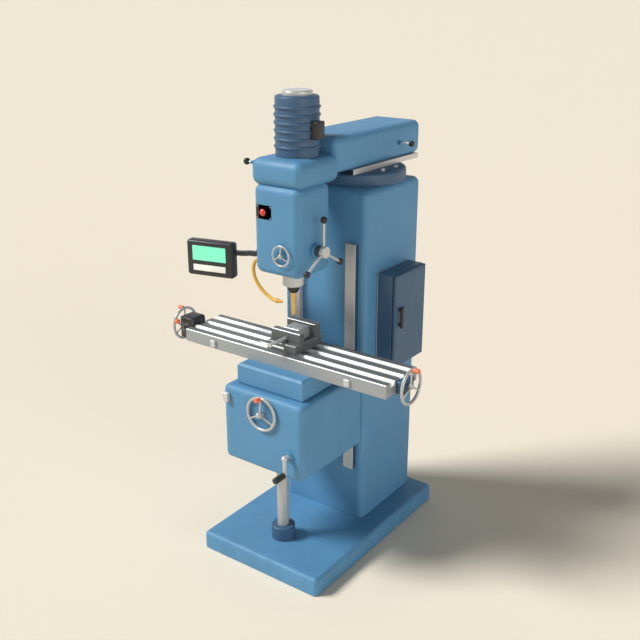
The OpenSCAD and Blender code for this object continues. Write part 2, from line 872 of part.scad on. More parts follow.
module coolant_hose() {
  color([0.9, 0.72, 0.3]) translate([0, hose_y, 0]) swept(hose_points, hose_r, 10);
}

module readout_bracket() {
  ear = 5;
  color(black) translate([arm_pivot_x, arm_y, arm_z]) {
    difference() {
      union() {
        for (s = [-1, 1]) translate([0, 0, s * (knuckle_h / 2 + ear / 2 + 0.3)]) {
          cylinder(r = 14, h = ear, center = true);
          translate([0, -14, -ear / 2]) cube([26, 28, ear]);
        }
        translate([19, -14, -knuckle_h / 2 - ear]) cube([7, 28, knuckle_h + 2 * ear]);
      }
    }
    cylinder(r = 5, h = knuckle_h + 9, center = true);
  }
}

module readout_arm() {
  start = [arm_pivot_x, arm_y, arm_z];
  path = [start, [case_x + 103, arm_y + 46, case_z + 34],
    eye + 26 * [-sin(case_turn), cos(case_turn), 0], eye];
  color(black) difference() {
    union() {
      for (k = [0:2]) translate(path[k]) cylinder(r = knuckle_r, h = knuckle_h, center = true);
      for (k = [0:1]) strut(path[k], path[k + 1], arm_r);
      strut(path[2], path[3], eye_r - 1);
      translate(eye) rotate([0, 0, case_turn]) rod_x(eye_r, -eye_w / 2, eye_w / 2);
    }
    translate(start) cylinder(r = 5 + run, h = 4 * arm_r, center = true);
    translate(eye) rotate([0, 0, case_turn]) rod_x(3 + run, -eye_w, eye_w);
  }
}

module readout_place() {
  translate([case_x, case_back_y, case_z]) rotate([0, 0, case_turn]) children();
}

module readout_case() {
  ear = 6;
  color(black) readout_place() {
    translate([0, -case_t / 2, -case_h / 2]) soft_box(case_w, case_t, case_h, 10, 10);
    for (s = [-1, 1]) translate([s * (eye_w / 2 + 0.4 + ear / 2), 0, 6]) {
      translate([0, tilt_gap, 0]) rod_x(eye_r, -ear / 2, ear / 2);
      translate([-ear / 2, -1, -eye_r]) cube([ear, tilt_gap + 1, 2 * eye_r]);
    }
    translate([0, tilt_gap, 6]) rod_x(3, -eye_w, eye_w);
  }
}

module readout_screen() {
  screen_h = case_h * 0.44;
  color([0.55, 1, 0.82]) readout_place()
    translate([-4, -case_t, case_h / 2 - 15 - screen_h / 2]) rotate([90, 0, 0]) linear_extrude(1.5)
      round_rect(case_w * 0.77, screen_h, 3);
}

module readout_keys() {
  color([0.95, 0.94, 0.9]) readout_place()
    translate([-4, -case_t, -case_h * 0.27]) rotate([90, 0, 0]) linear_extrude(1.5)
      round_rect(case_w * 0.76, case_h * 0.2, 2);
}

module knee() {
  depth = knee_back - knee_front;
  mid = (knee_back + knee_front) / 2;
  roof = 41;
  inner = knee_w / 2 - knee_wall;
  pocket = way_w + 2 * slide;
  cavity_low = knee_z + knee_wall;
  color(main_blue) difference() {
    union() {
      translate([0, mid, knee_z]) soft_box(knee_w, depth, knee_h, knee_round, knee_round);
      translate([crank_x, 0, crank_z]) rod_y(20, knee_front - 14, knee_front + 2);
    }
    for (s = [-1, 1]) translate([s * way_pitch / 2 - pocket / 2, ways_front - slide, knee_z - 1])
      cube([pocket, way_proud + slide, knee_h + 2]);
    // Cavity, crossed by the bridge that carries the elevating screw
    difference() {
      block([-inner, knee_front + knee_wall, cavity_low], [inner, ways_front - knee_wall, knee_top - roof]);
      block([-inner - 1, post_y - 50, bridge_z], [inner + 1, post_y + 50, bridge_z + bridge_t]);
    }
    translate([0, post_y, knee_z - 1]) cylinder(r = post_r + 0.5, h = knee_wall + 2);
    translate([0, post_y, bridge_z - 1]) cylinder(r = lift_screw_r + run, h = bridge_t + 2);
    // Guide of the saddle and the slot for its nut
    block([-groove_w / 2, groove_front, knee_top - groove_d], [groove_w / 2, col_front, knee_top + 1]);
    block([-nut_slot / 2, groove_front, knee_top - roof - 1], [nut_slot / 2, ways_front - 40, knee_top]);
    translate([0, 0, cross_z]) rod_y(cross_r + run, knee_front - 1, knee_front + knee_wall + 1);
    translate([crank_x, 0, crank_z]) rod_y(10 + run, knee_front - 20, knee_front + knee_wall + 1);
  }
}

module knee_clamp() {
  color(steel) translate([-knee_w / 2 + 14, knee_front - 9, knee_top - 73]) soft_box(27, 18, 42, 3, 3);
}

module elevating_screw() {
  color(steel) translate([0, post_y, 0]) {
    translate([0, 0, base_h + 261]) cylinder(r = lift_screw_r, h = bridge_z + bridge_t - base_h - 261 + 5);
    translate([0, 0, bridge_z + bridge_t + 0.1]) disc(22, 20, 4);
  }
}

module elevating_crank() {
  color(steel) translate([crank_x, crank_y, crank_z]) {
    sphere(13);
    rod_y(10, 0, -crank_y + knee_front + 60);
    translate([0, 0, -crank_throw]) cylinder(r = 8, h = crank_throw);
    translate([0, 0, -crank_throw]) rod_y(3.5, -54, 0);
    translate([0, 0, -crank_throw]) sphere(8);
  }
}

module crank_grip() {
  color(black) translate([crank_x, crank_y - 8.3, crank_z - crank_throw]) rotate([90, 0, 0])
    grip(14, 61, 3.5, 7);
}

module cross_feed_wheel() {
  color(steel) translate([0, cross_wheel_y, cross_z]) {
    rotate([90, 0, 0]) handwheel(wheel_r, rim_r, 13, 4, 8, 15, cross_r, 3, 20);
    rod_y(cross_r, -shaft_seat, ways_front - 55 - cross_wheel_y);
  }
}

module wheel_grip() {
  color(orange) translate([0, wheel_r - rim_r, rim_r + 0.5]) grip(9.5, 30, 3, 6);
}

module cross_feed_grip() {
  translate([0, cross_wheel_y, cross_z]) rotate([90, 0, 0]) wheel_grip();
}

module saddle() {
  plinth = 5;
  tongue_in = 70;
  tongue_l = 200;
  lug_in = 80;
  lug_l = 60;
  tongue_front = saddle_front + tongue_in;
  tongue_back = tongue_front + tongue_l;
  lug = nut_slot - 1;
  mid = saddle_front + saddle_d / 2;
  color(main_blue) difference() {
    union() {
      translate([0, mid, knee_top + plinth]) bevel_box(saddle_w, saddle_d, saddle_h - plinth, 9);
      translate([0, mid, knee_top + slide]) bevel_box(saddle_w - 10, saddle_d - 10, plinth + 1, 0.5);
      block([slide - groove_w / 2, tongue_front, knee_top - groove_d + slide],
        [groove_w / 2 - slide, tongue_back, knee_top + plinth]);
      block([-lug / 2, tongue_front + lug_in, cross_z - 13],
        [lug / 2, tongue_front + lug_in + lug_l, knee_top]);
      // Guide rail and nut of the table
      translate([0, table_y, table_low - 1]) block([-saddle_w / 2, slide - guide_w / 2, 0],
        [saddle_w / 2, guide_w / 2 - slide, guide_d + 1 - slide]);
      translate([0, table_y, screw_z]) rod_x(10.5, -40, 40);
      block([-40, table_y - 8, table_low], [40, table_y + 8, screw_z - 5]);
    }
    translate([0, 0, cross_z]) rod_y(cross_r + run, saddle_front, col_front);
    translate([0, table_y, screw_z]) rod_x(screw_r + run, -saddle_w, saddle_w);
  }
}

module table() {
  neck_z = -11;
  foot_z = -18;
  bevel_z = -8;
  color(table_grey) translate([0, table_y, table_top]) difference() {
    translate([0, 0, -table_h]) bevel_box(table_l, table_w, table_h, 2);
    for (k = [-1:1]) translate([-table_l, k * slot_pitch, 0]) rotate([90, 0, 90]) linear_extrude(2 * table_l)
      polygon([
        [-slot_mouth / 2, 0], [-slot_mouth / 2, 1], [slot_mouth / 2, 1], [slot_mouth / 2, 0],
        [slot_neck / 2, bevel_z], [slot_neck / 2, neck_z], [slot_foot / 2, neck_z], [slot_foot / 2, foot_z],
        [-slot_foot / 2, foot_z], [-slot_foot / 2, neck_z], [-slot_neck / 2, neck_z], [-slot_neck / 2, bevel_z]
      ]);
    block([-table_l, -guide_w / 2, -table_h - 1], [table_l, guide_w / 2, guide_d - table_h]);
    translate([0, 0, screw_z - table_top]) union() {
      rod_x(channel_w / 2, -table_l, table_l);
      block([-table_l, -channel_w / 2, -20], [table_l, channel_w / 2, 0]);
    }
  }
}

module power_feed() {
  color(black) difference() {
    union() {
      translate([-table_l / 2 - feed_box[0] / 2, feed_box_y, feed_box_z])
        soft_box(feed_box[0], feed_box[1], feed_box[2], 14, 16);
      translate([trip_x, 0, trip_z]) rod_y(11, trip_y + 1, trip_y + 20);
    }
    translate([0, table_y, screw_z]) rod_x(screw_r + run, -table_l, 0);
    translate([trip_x, 0, trip_z]) rod_y(5 + run, trip_y - 1, trip_y + 40);
  }
}

module feed_trip_lever() {
  ball = 12;
  lean = [-21, -17, 34];
  color(orange) translate([trip_x, trip_y, trip_z]) {
    rod_y(8, -8, 0.6);
    rod_y(5, -1, 38);
    translate([0, -4, 0]) strut([0, 0, 0], lean, 3.5);
    translate([0, -4, 0]) translate(lean) sphere(ball);
  }
}

module screw_bracket() {
  color(dark_blue) difference() {
    translate([table_l / 2 + 16, table_y, screw_z - 28]) soft_box(32, 90, 56, 6, 6);
    translate([0, table_y, screw_z]) rod_x(screw_r + run, 0, table_l);
  }
}

module stop_dogs() {
  left_x = -366;
  right_x = 352;
  color(steel) for (x = [left_x, right_x])
    translate([x, table_front - 5, table_low + 9]) soft_box(26, 10, 31, 2, 2);
}

module table_screw() {
  color(steel) translate([0, table_y, screw_z])
    rod_x(screw_r, left_wheel_x - shaft_seat, right_wheel_x + shaft_seat);
}

module table_wheels() {
  color(steel) {
    translate([right_wheel_x, table_y, screw_z]) rotate([90, 0, 90])
      handwheel(wheel_r, rim_r, 13, 4, 9, 0, screw_r, 3, 20);
    translate([left_wheel_x, table_y, screw_z]) rotate([90, 0, -90])
      handwheel(wheel_r, rim_r, 13, 4, 12, 0, screw_r, 3, 20);
  }
}

module left_wheel_grip() {
  translate([left_wheel_x, table_y, screw_z]) rotate([90, 0, -90]) wheel_grip();
}

module right_wheel_grip() {
  translate([right_wheel_x, table_y, screw_z]) rotate([90, 0, 90]) wheel_grip();
}

module vise_base() {
  rest_w = 20;
  color(dark_steel) translate([vise_x, 0, 0]) difference() {
    union() {
      translate([0, vise_front + vise_l / 2, table_top]) bevel_box(vise_w, vise_l, vise_base_h, 2);
      translate([0, fixed_jaw_y + fixed_jaw_t / 2, vise_bed - 2])
        bevel_box(vise_w, fixed_jaw_t, jaw_h + 2, 2);
      block([-rest_w / 2, vise_front + 1, vise_bed - 2], [rest_w / 2, vise_front + 8.5, vise_screw_z]);
    }
    translate([0, 0, vise_screw_z]) rod_y(vise_screw_r + run, vise_front - 10, vise_front + 30);
    block([-keel_w / 2, vise_front + 9, vise_bed - keel_d - 1], [keel_w / 2, fixed_jaw_y - 6, vise_bed + 1]);
    // Clamp slots in the base's flanks
    for (s = [-1, 1], y = [38, 150]) translate([s * vise_w / 2, vise_front + y, vise_bed - 9])
      cube([10, 22, 5], center = true);
  }
}

module vise_jaw() {
  color(dark_steel) translate([vise_x, 0, 0]) difference() {
    union() {
      translate([0, moving_jaw_y + moving_jaw_t / 2, vise_bed + slide])
        bevel_box(vise_w, moving_jaw_t, 46, 2);
      block([slide - keel_w / 2, moving_jaw_y, vise_bed - keel_d + slide],
        [keel_w / 2 - slide, moving_jaw_y + moving_jaw_t + 30, vise_bed - slide]);
      block([slide - keel_w / 2, moving_jaw_y, vise_bed - 2],
        [keel_w / 2 - slide, moving_jaw_y + moving_jaw_t, vise_bed + 2]);
    }
    translate([0, 0, vise_screw_z]) rod_y(vise_screw_r + run, moving_jaw_y - 1, moving_jaw_y + 20);
  }
}

module vise_screw() {
  color(steel) translate([vise_x, 0, vise_screw_z]) difference() {
    union() {
      rod_y(vise_screw_r, bar_y + 6, moving_jaw_y + 19);
      rod_y(9, bar_y - 9, bar_y + 9);
    }
    translate([0, bar_y, 0]) rod_x(4 + run, -20, 20);
  }
}

module vise_bar() {
  color(steel) translate([vise_x + 4, bar_y, vise_screw_z]) {
    rod_x(4, -60, 60);
    for (s = [-1, 1]) translate([s * 60, 0, 0]) sphere(5.5);
  }
}

module work_block() {
  color([0.68, 0.69, 0.69]) translate([vise_x + 6, fixed_jaw_y - block_d / 2, vise_bed])
    bevel_box(block_w, block_d, block_h, 2);
}

base();
column();
column_ways();
post_collar();
elevating_post();
cabinet_box();
cabinet_hinges();
cabinet_door();
cabinet_handle();
turret_ring();
turret_bolts();
ram();
ram_slideway();
ram_lock_lever();
gear_housing();
head_casting();
motor_body();
motor_cap();
terminal_box();
switch_plate();
push_button();
brake_lever();
motor_rotor();
drive_sleeve();
quill();
spindle();
collet_nut();
end_mill();
feed_levers();
feed_lever_balls();
fine_feed_wheel();
hose_fittings();
coolant_hose();
readout_bracket();
readout_arm();
readout_case();
readout_screen();
readout_keys();
knee();
knee_clamp();
elevating_screw();
elevating_crank();
crank_grip();
cross_feed_wheel();
cross_feed_grip();
saddle();
table();
power_feed();
feed_trip_lever();
screw_bracket();
stop_dogs();
table_screw();
table_wheels();
left_wheel_grip();
right_wheel_grip();
vise_base();
vise_jaw();
vise_screw();
vise_bar();
work_block();
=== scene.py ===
# %% [markdown]
# # Dressing a turret milling machine
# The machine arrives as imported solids: castings, slides, wheels and levers, each on its own body.
# This lesson gives each of them the finish of the real thing and adds the small pieces that a
# solid model leaves out, such as screws, louvres, terminals and the bent tube of the readout arm.

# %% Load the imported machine
import math

import bmesh
import bpy
from mathutils import Matrix, Vector


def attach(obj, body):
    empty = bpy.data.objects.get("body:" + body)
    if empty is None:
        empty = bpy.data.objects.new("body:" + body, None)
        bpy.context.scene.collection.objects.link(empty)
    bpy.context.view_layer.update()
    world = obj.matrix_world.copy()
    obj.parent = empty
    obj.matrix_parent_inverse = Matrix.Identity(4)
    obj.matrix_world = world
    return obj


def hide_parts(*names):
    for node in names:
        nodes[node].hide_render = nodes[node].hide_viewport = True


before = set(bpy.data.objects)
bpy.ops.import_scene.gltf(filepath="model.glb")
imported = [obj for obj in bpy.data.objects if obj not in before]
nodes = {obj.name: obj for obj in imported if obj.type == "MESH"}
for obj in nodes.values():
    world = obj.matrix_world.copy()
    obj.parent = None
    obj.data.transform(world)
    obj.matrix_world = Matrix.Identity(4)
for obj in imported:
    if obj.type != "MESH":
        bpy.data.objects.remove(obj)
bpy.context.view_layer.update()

scene = bpy.context.scene
MM = 0.001

# %% [markdown]
# ## Camera and studio
# The camera stands front right and a little above, as the photographer did. One large pale floor
# runs past the frame, so there is no horizon. A broad sun from the upper left throws the soft
# shadow to the right, and a low fill lights the sides that the sun doesn't reach without paling
# that shadow. The sky is weak overhead, bright in a low band and behind the machine, as with a
# white back wall: flat tops seen at a low angle mirror that wall and turn paler.

# %% Camera at the photograph's angle
AZIMUTH, ELEVATION = math.radians(36.0), math.radians(20.372)
view_back = Vector((
    math.sin(AZIMUTH) * math.cos(ELEVATION),
    -math.cos(AZIMUTH) * math.cos(ELEVATION),
    math.sin(ELEVATION),
))
camera = bpy.data.objects.new("camera", bpy.data.cameras.new("camera"))
camera.data.lens, camera.data.sensor_width, camera.data.clip_end = 50, 36, 1000
camera.rotation_mode = "QUATERNION"
camera.location = (2.1707, -3.0146, 2.4185)
camera.rotation_quaternion = (-view_back).to_track_quat("-Z", "Y")
scene.collection.objects.link(camera)
scene.camera = camera
scene.view_settings.view_transform = "Standard"
print("camera at", [round(c, 3) for c in camera.location])

# %% Floor, sky and sun
FLOOR = (0.895, 0.808, 0.66)
FLOOR_REACH, FLOOR_DROP = 400, 0.0005
world = bpy.data.worlds.new("studio")
world.use_nodes = True
world.node_tree.nodes["Background"].inputs["Color"].default_value = (1, 1, 1, 1)
sky_nodes, sky_links = world.node_tree.nodes, world.node_tree.links
scene.world = world


def sky_step(kind, *values, **settings):
    """A node of the sky's recipe, with its first inputs linked or set."""
    made = sky_nodes.new(kind)
    for key, value in settings.items():
        setattr(made, key, value)
    for socket, value in zip(made.inputs, values):
        if isinstance(value, bpy.types.NodeSocket):
            sky_links.new(value, socket)
        else:
            socket.default_value = value
    return made.outputs


way = sky_step("ShaderNodeTexCoord")["Generated"]
height = sky_step("ShaderNodeSeparateXYZ", way)[2]
towards_wall = sky_step("ShaderNodeVectorMath", way, (-0.59, 0.81, 0), operation="DOT_PRODUCT")["Value"]
low_band = sky_step("ShaderNodeMapRange", height, 0.04, 0.16, 0.5, 0.0)[0]
wall = sky_step("ShaderNodeMath", sky_step("ShaderNodeMapRange", towards_wall, 0.35, 0.8, 0.0, 0.7)[0],
                sky_step("ShaderNodeMapRange", height, 0.35, 0.7, 1.0, 0.0)[0], operation="MULTIPLY")[0]
glow = sky_step("ShaderNodeMath", sky_step("ShaderNodeMath", low_band, wall, operation="MAXIMUM")[0], 0.12,
                operation="ADD")[0]
sky_links.new(glow, sky_nodes["Background"].inputs["Strength"])


def lamp(name, kind, towards, power, **settings):
    """A light that shines from `towards` (a direction from the machine) to the machine's middle."""
    data = bpy.data.lights.new(name, kind)
    data.energy = power
    for key, value in settings.items():
        setattr(data, key, value)
    made = bpy.data.objects.new(name, data)
    made.location = Vector((0, 0, 1)) + Vector(towards)
    made.rotation_mode = "QUATERNION"
    made.rotation_quaternion = Vector(towards).to_track_quat("Z", "Y")
    scene.collection.objects.link(made)
    return made


lamp("sun", "SUN", (-1.2, -1.0, 1.55), 3.35, angle=math.radians(20))
lamp("fill from the right", "SUN", (1.0, -0.3, 0.1), 1.4, angle=math.radians(45))
floor_mesh = bpy.data.meshes.new("floor")
floor_mesh.from_pydata([(x * FLOOR_REACH, y * FLOOR_REACH, 0) for x, y in ((-1, -1), (1, -1), (1, 1), (-1, 1))],
                       [], [(0, 1, 2, 3)])
floor = bpy.data.objects.new("floor", floor_mesh)
floor.location.z = -FLOOR_DROP
scene.collection.objects.link(floor)
paper = bpy.data.materials.new("floor")
paper.use_nodes = True
paper.node_tree.nodes["Principled BSDF"].inputs["Base Color"].default_value = (*FLOOR, 1)
paper.node_tree.nodes["Principled BSDF"].inputs["Roughness"].default_value = 0.9
floor_mesh.materials.append(paper)
print("lights:", [light.name for light in bpy.data.lights])

# %% [markdown]
# ## Coolant hose
# A yellow rubber hose leaves the head's side, bows down under its own weight and ends in a
# nozzle by the cutter. Its line is the same as in the solid model: a few points, with a smooth
# curve through them. A curve with a round bevel is the simplest tube and keeps its centreline;
# it is then turned into a mesh, so that its size is known at once.

# %% The hose as one smooth curve
HOSE_R = 7.5 * MM
HOSE_Y = -0.25
hose_points = [
    (-121.4, 1362), (-134, 1362), (-154, 1358), (-172, 1346), (-184, 1327), (-188, 1306), (-186, 1286),
    (-180, 1267), (-169, 1249), (-154, 1231), (-135, 1215), (-115, 1203), (-95, 1193), (-78, 1188.5),
    (-68, 1188), (-58, 1188),
]


def smooth_line(points, steps=4):
    """Catmull-Rom points through the given ones."""
    ends = [2 * points[0] - points[1], *points, 2 * points[-1] - points[-2]]
    line = []
    for a, b, c, d in zip(ends, ends[1:], ends[2:], ends[3:]):
        for k in range(steps):
            t = k / steps
            line.append(0.5 * (2 * b + (c - a) * t + (2 * a - 5 * b + 4 * c - d) * t * t
                               + (3 * b - 3 * c + d - a) * t ** 3))
    return line + [points[-1]]


hose_line = smooth_line([Vector((x * MM, HOSE_Y, z * MM)) for x, z in hose_points])


def tube(name, line, radius):
    """A closed round tube along a line, as a plain mesh object."""
    curve = bpy.data.curves.new(name, "CURVE")
    curve.dimensions = "3D"
    curve.bevel_depth, curve.bevel_resolution, curve.use_fill_caps = radius, 6, True
    spline = curve.splines.new("POLY")
    spline.points.add(len(line) - 1)
    for point, place in zip(spline.points, line):
        point.co = (*place, 1)
    wire = bpy.data.objects.new(name + "_wire", curve)
    scene.collection.objects.link(wire)
    mesh = bpy.data.meshes.new_from_object(wire.evaluated_get(bpy.context.evaluated_depsgraph_get()))
    bpy.data.objects.remove(wire)
    mesh.shade_smooth()
    mesh.set_sharp_from_angle(angle=math.radians(50))
    made = bpy.data.objects.new(name, mesh)
    scene.collection.objects.link(made)
    return made


hose = tube("hose", hose_line, HOSE_R)
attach(hose, "head")
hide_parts("coolant_hose")
print("hose length", round(sum((b - a).length for a, b in zip(hose_line, hose_line[1:])), 4))

# %% [markdown]
# ## Wiring node trees
# Materials and Geometry Nodes trees are both graphs of sockets. One small helper places a node,
# and links a socket or writes a value, so that the recipes below read like formulas.

# %% A helper that wires nodes


class Wires:
    """The nodes and links of one tree."""

    def __init__(self, tree):
        self.tree = tree

    def node(self, kind, inputs=(), **settings):
        """A new node with its settings, its inputs linked or set by name or number."""
        made = self.tree.nodes.new(kind)
        for key, value in settings.items():
            setattr(made, key, value)
        for key, value in dict(inputs).items():
            self.put(made.inputs[key], value)
        return made

    def put(self, socket, value):
        if isinstance(value, bpy.types.NodeSocket):
            self.tree.links.new(value, socket)
        elif isinstance(value, (tuple, list, Vector)) and socket.type == "RGBA" and len(value) == 3:
            socket.default_value = (*value, 1)
        else:
            socket.default_value = value

    def math(self, operation, *values):
        return self.node("ShaderNodeMath", enumerate(values), operation=operation).outputs[0]

    def vector(self, operation, *values):
        made = self.node("ShaderNodeVectorMath", enumerate(values), operation=operation)
        return made.outputs["Value" if operation in ("DOT_PRODUCT", "LENGTH", "DISTANCE") else "Vector"]

    def remap(self, value, low, high, to_low=0.0, to_high=1.0):
        return self.node("ShaderNodeMapRange", enumerate((value, low, high, to_low, to_high))).outputs[0]

    def mix(self, factor, a, b):
        made = self.node("ShaderNodeMix", {0: factor, 6: a, 7: b}, data_type="RGBA")
        return made.outputs[2]

    def tint(self, colour, amount):
        """The colour made lighter or darker by a factor."""
        return self.vector("SCALE", colour, (0, 0, 0), (0, 0, 0), amount)

    def noise(self, vector, scale, detail=2.0):
        made = self.node("ShaderNodeTexNoise", {"Vector": vector, "Scale": scale, "Detail": detail})
        return made.outputs[0]

    def place(self):
        """The point of the machine that is shaded, in metres."""
        return self.node("ShaderNodeTexCoord").outputs["Object"]

    def xyz(self):
        """The three coordinates of that point."""
        return self.node("ShaderNodeSeparateXYZ", {0: self.place()}).outputs

    def group(self, tree, **values):
        made = self.node("ShaderNodeGroup")
        made.node_tree = tree
        for key, value in values.items():
            self.put(made.inputs[key], value)
        return made.outputs

    def band(self, value, low, high):
        """1 where the value, in metres, lies between two limits in mm."""
        return self.both(self.above(value, low), self.below(value, high))

    def above(self, value, limit):
        """1 where the value, in metres, is greater than a limit in mm."""
        return self.math("GREATER_THAN", value, limit * MM)

    def below(self, value, limit):
        """1 where the value, in metres, is less than a limit in mm."""
        return self.math("LESS_THAN", value, limit * MM)

    def both(self, one, other):
        """1 where two masks are 1."""
        return self.math("MULTIPLY", one, other)

    def near(self, centre, radius):
        """1 within a ball round a point of the machine, given in mm."""
        return self.below(self.vector("DISTANCE", self.place(), tuple(c * MM for c in centre)), radius)


# %% [markdown]
# ## Shared finishes
# Four effects come back on many parts, so each is one node group with named inputs: the skin of
# painted cast iron, the fine lines that a grinder or lathe leaves, the grain of moulded plastic
# and the bright line along an edge, partly wear and partly a painted highlight where the rounded
# edge catches the light. Each group puts out values that vary over the surface, and the material that uses it
# holds the shader.

# %% Groups for cast skin, machining lines, moulded grain and edges with wear and painted highlights


def effect(name, inputs, outputs):
    """A shader node group with named inputs and outputs."""
    tree = bpy.data.node_groups.new(name, "ShaderNodeTree")
    for label, kind, value in inputs:
        tree.interface.new_socket(label, in_out="INPUT", socket_type="NodeSocket" + kind).default_value = value
    for label, kind in outputs:
        tree.interface.new_socket(label, in_out="OUTPUT", socket_type="NodeSocket" + kind)
    wires = Wires(tree)
    return wires, tree.nodes.new("NodeGroupInput").outputs, tree.nodes.new("NodeGroupOutput").inputs


SURFACE = [("Colour", "Color"), ("Roughness", "Float"), ("Height", "Float")]
GREY = (0.5, 0.5, 0.5, 1)

wires, take, give = effect("cast skin", [("Colour", "Color", GREY), ("Smooth", "Float", 0.35),
                                         ("Rough", "Float", 0.5), ("Grime", "Float", 0.1)], SURFACE)
at = wires.place()
cloud = wires.noise(at, 5.0, 3.0)
smear = wires.noise(wires.vector("MULTIPLY", at, (14, 14, 4)), 1.0, 4.0)
low_down = wires.remap(wires.node("ShaderNodeSeparateXYZ", {0: at}).outputs[2], 0.0, 0.25, 1.0, 0.0)
grime = wires.math("MULTIPLY", wires.math("MULTIPLY", take["Grime"], low_down), wires.remap(smear, 0.4, 0.65))
shade = wires.math("SUBTRACT", wires.remap(cloud, 0.3, 0.7, 0.955, 1.04), grime)
wires.put(give["Colour"], wires.tint(take["Colour"], shade))
wires.put(give["Roughness"], wires.remap(smear, 0.3, 0.7, take["Smooth"], take["Rough"]))
peel = wires.noise(at, 260.0, 1.0)
wave = wires.noise(at, 34.0, 1.0)
wires.put(give["Height"], wires.math("ADD", wires.math("MULTIPLY", peel, 0.35), wave))
cast_skin = wires.tree

wires, take, give = effect("machining lines", [("Colour", "Color", GREY), ("Run", "Vector", (10, 900, 900)),
                                               ("Depth", "Float", 0.1), ("Smooth", "Float", 0.25),
                                               ("Rough", "Float", 0.4)], SURFACE)
at = wires.place()
line = wires.noise(wires.vector("MULTIPLY", at, take["Run"]), 1.0, 3.0)
stain = wires.noise(at, 18.0, 3.0)
swing = wires.math("ADD", wires.remap(line, 0.3, 0.7, -0.5, 0.5), wires.remap(stain, 0.3, 0.7, -0.15, 0.15))
wires.put(give["Colour"], wires.tint(take["Colour"],
                                     wires.math("MULTIPLY_ADD", swing, take["Depth"], 1.0)))
wires.put(give["Roughness"], wires.remap(wires.math("ADD", swing, 0.5), 0, 1, take["Smooth"], take["Rough"]))
wires.put(give["Height"], line)
machining = wires.tree

wires, take, give = effect("moulded grain", [("Colour", "Color", GREY), ("Size", "Float", 700.0),
                                             ("Smooth", "Float", 0.4), ("Rough", "Float", 0.55)], SURFACE)
at = wires.place()
grain = wires.node("ShaderNodeTexVoronoi", {"Vector": at, "Scale": take["Size"]}, feature="SMOOTH_F1").outputs[0]
rub = wires.noise(at, 22.0, 4.0)
wires.put(give["Colour"], wires.tint(take["Colour"], wires.remap(rub, 0.3, 0.75, 0.92, 1.12)))
wires.put(give["Roughness"], wires.remap(rub, 0.3, 0.7, take["Rough"], take["Smooth"]))
wires.put(give["Height"], grain)
moulded = wires.tree

# A lighter line along rounded edges: a little wear, mostly a painted highlight. Top Edge keeps only the edges that
# face up, towards the light.
wires, take, give = effect("edge wear and highlight", [("Width", "Float", 0.003)], [("Edge", "Float"), ("Top Edge", "Float")])
rounded = wires.node("ShaderNodeBevel", {"Radius": take["Width"]}, samples=4).outputs[0]
true = wires.node("ShaderNodeNewGeometry").outputs["True Normal"]
turn = wires.math("SUBTRACT", 1.0, wires.vector("DOT_PRODUCT", rounded, true))
edge = wires.remap(turn, 0.01, 0.12)
wires.put(give["Edge"], edge)
rise = wires.node("ShaderNodeSeparateXYZ", {0: rounded}).outputs[2]
wires.put(give["Top Edge"], wires.math("MULTIPLY", edge, wires.remap(rise, 0.15, 0.5)))
edge_wear_and_highlight = wires.tree
print("effects:", [g.name for g in bpy.data.node_groups])

# %% [markdown]
# ## Paint
# The castings wear a blue machine enamel with a soft gloss: it fills the pores of the iron, so it
# lies in faint waves with a fine orange peel. Along the edges it is painted a lighter tone, partly thin
# paint and partly a painted highlight where the rounded edges catch the light. The
# motor, turret and cabinet have a darker grey-blue.

# %% Materials of the paints


def new_material(name):
    """A material, the wires of its tree and its shader."""
    material = bpy.data.materials.new(name)
    material.use_nodes = True
    print("material", name)
    return material, Wires(material.node_tree), material.node_tree.nodes["Principled BSDF"]


def bump(wires, shader, height, distance, strength=0.5):
    made = wires.node("ShaderNodeBump", {"Height": height, "Distance": distance, "Strength": strength})
    wires.put(shader.inputs["Normal"], made.outputs[0])


def surface(name, effect_tree, colour, edge_colour=None, edge_width=0.003, top_only=False, masks=(),
            metallic=0.0, coat=0.0, distance=0.0002, strength=0.4, **values):
    """A material of one effect group. masks are (function of wires, colour) laid over the base colour."""
    material, wires, shader = new_material(name)
    under = (*colour, 1)
    for mask, paint in masks:
        under = wires.mix(mask(wires), under, (*paint, 1))
    got = wires.group(effect_tree, Colour=under, **values)
    shown = got["Colour"]
    # The edge colour is a painted highlight along the edges, with some wear; top_only keeps it to the edges that
    # face up, towards the light.
    if edge_colour:
        edges = wires.group(edge_wear_and_highlight, Width=edge_width)
        shown = wires.mix(edges["Top Edge" if top_only else "Edge"], shown, (*edge_colour, 1))
    wires.put(shader.inputs["Base Color"], shown)
    wires.put(shader.inputs["Roughness"], got["Roughness"])
    shader.inputs["Metallic"].default_value = metallic
    shader.inputs["Coat Weight"].default_value = coat
    shader.inputs["Coat Roughness"].default_value = 0.25
    bump(wires, shader, got["Height"], distance, strength)
    return material


# BLUE_EDGE and DARK_EDGE are painted highlights along the rounded edges, with a little wear in them.
BLUE, BLUE_EDGE = (0.092, 0.270, 0.464), (0.12, 0.32, 0.52)
DARK, DARK_EDGE = (0.045, 0.110, 0.200), (0.07, 0.145, 0.24)
blue_paint = surface("blue_paint", cast_skin, BLUE, BLUE_EDGE, 0.0015, coat=0.02, distance=0.0005, strength=0.25,
                     Smooth=0.52, Rough=0.64, Grime=0.12)
dark_paint = surface("dark_paint", cast_skin, DARK, DARK_EDGE, 0.002, coat=0.05, distance=0.0004, strength=0.25,
                     Smooth=0.46, Rough=0.56, Grime=0.1)

# %% [markdown]
# ## Bare metal
# Slides are ground, so their lines run along the travel; shafts and wheels are turned, so their
# lines run round. The `Run` input stretches the noise for each: a small number is the direction
# of the lines. The sides of the slideways, the end of the ram's slide and the feed hub's flank lie
# in shade, so masks made from the coordinates paint that shade on them in dark colours.

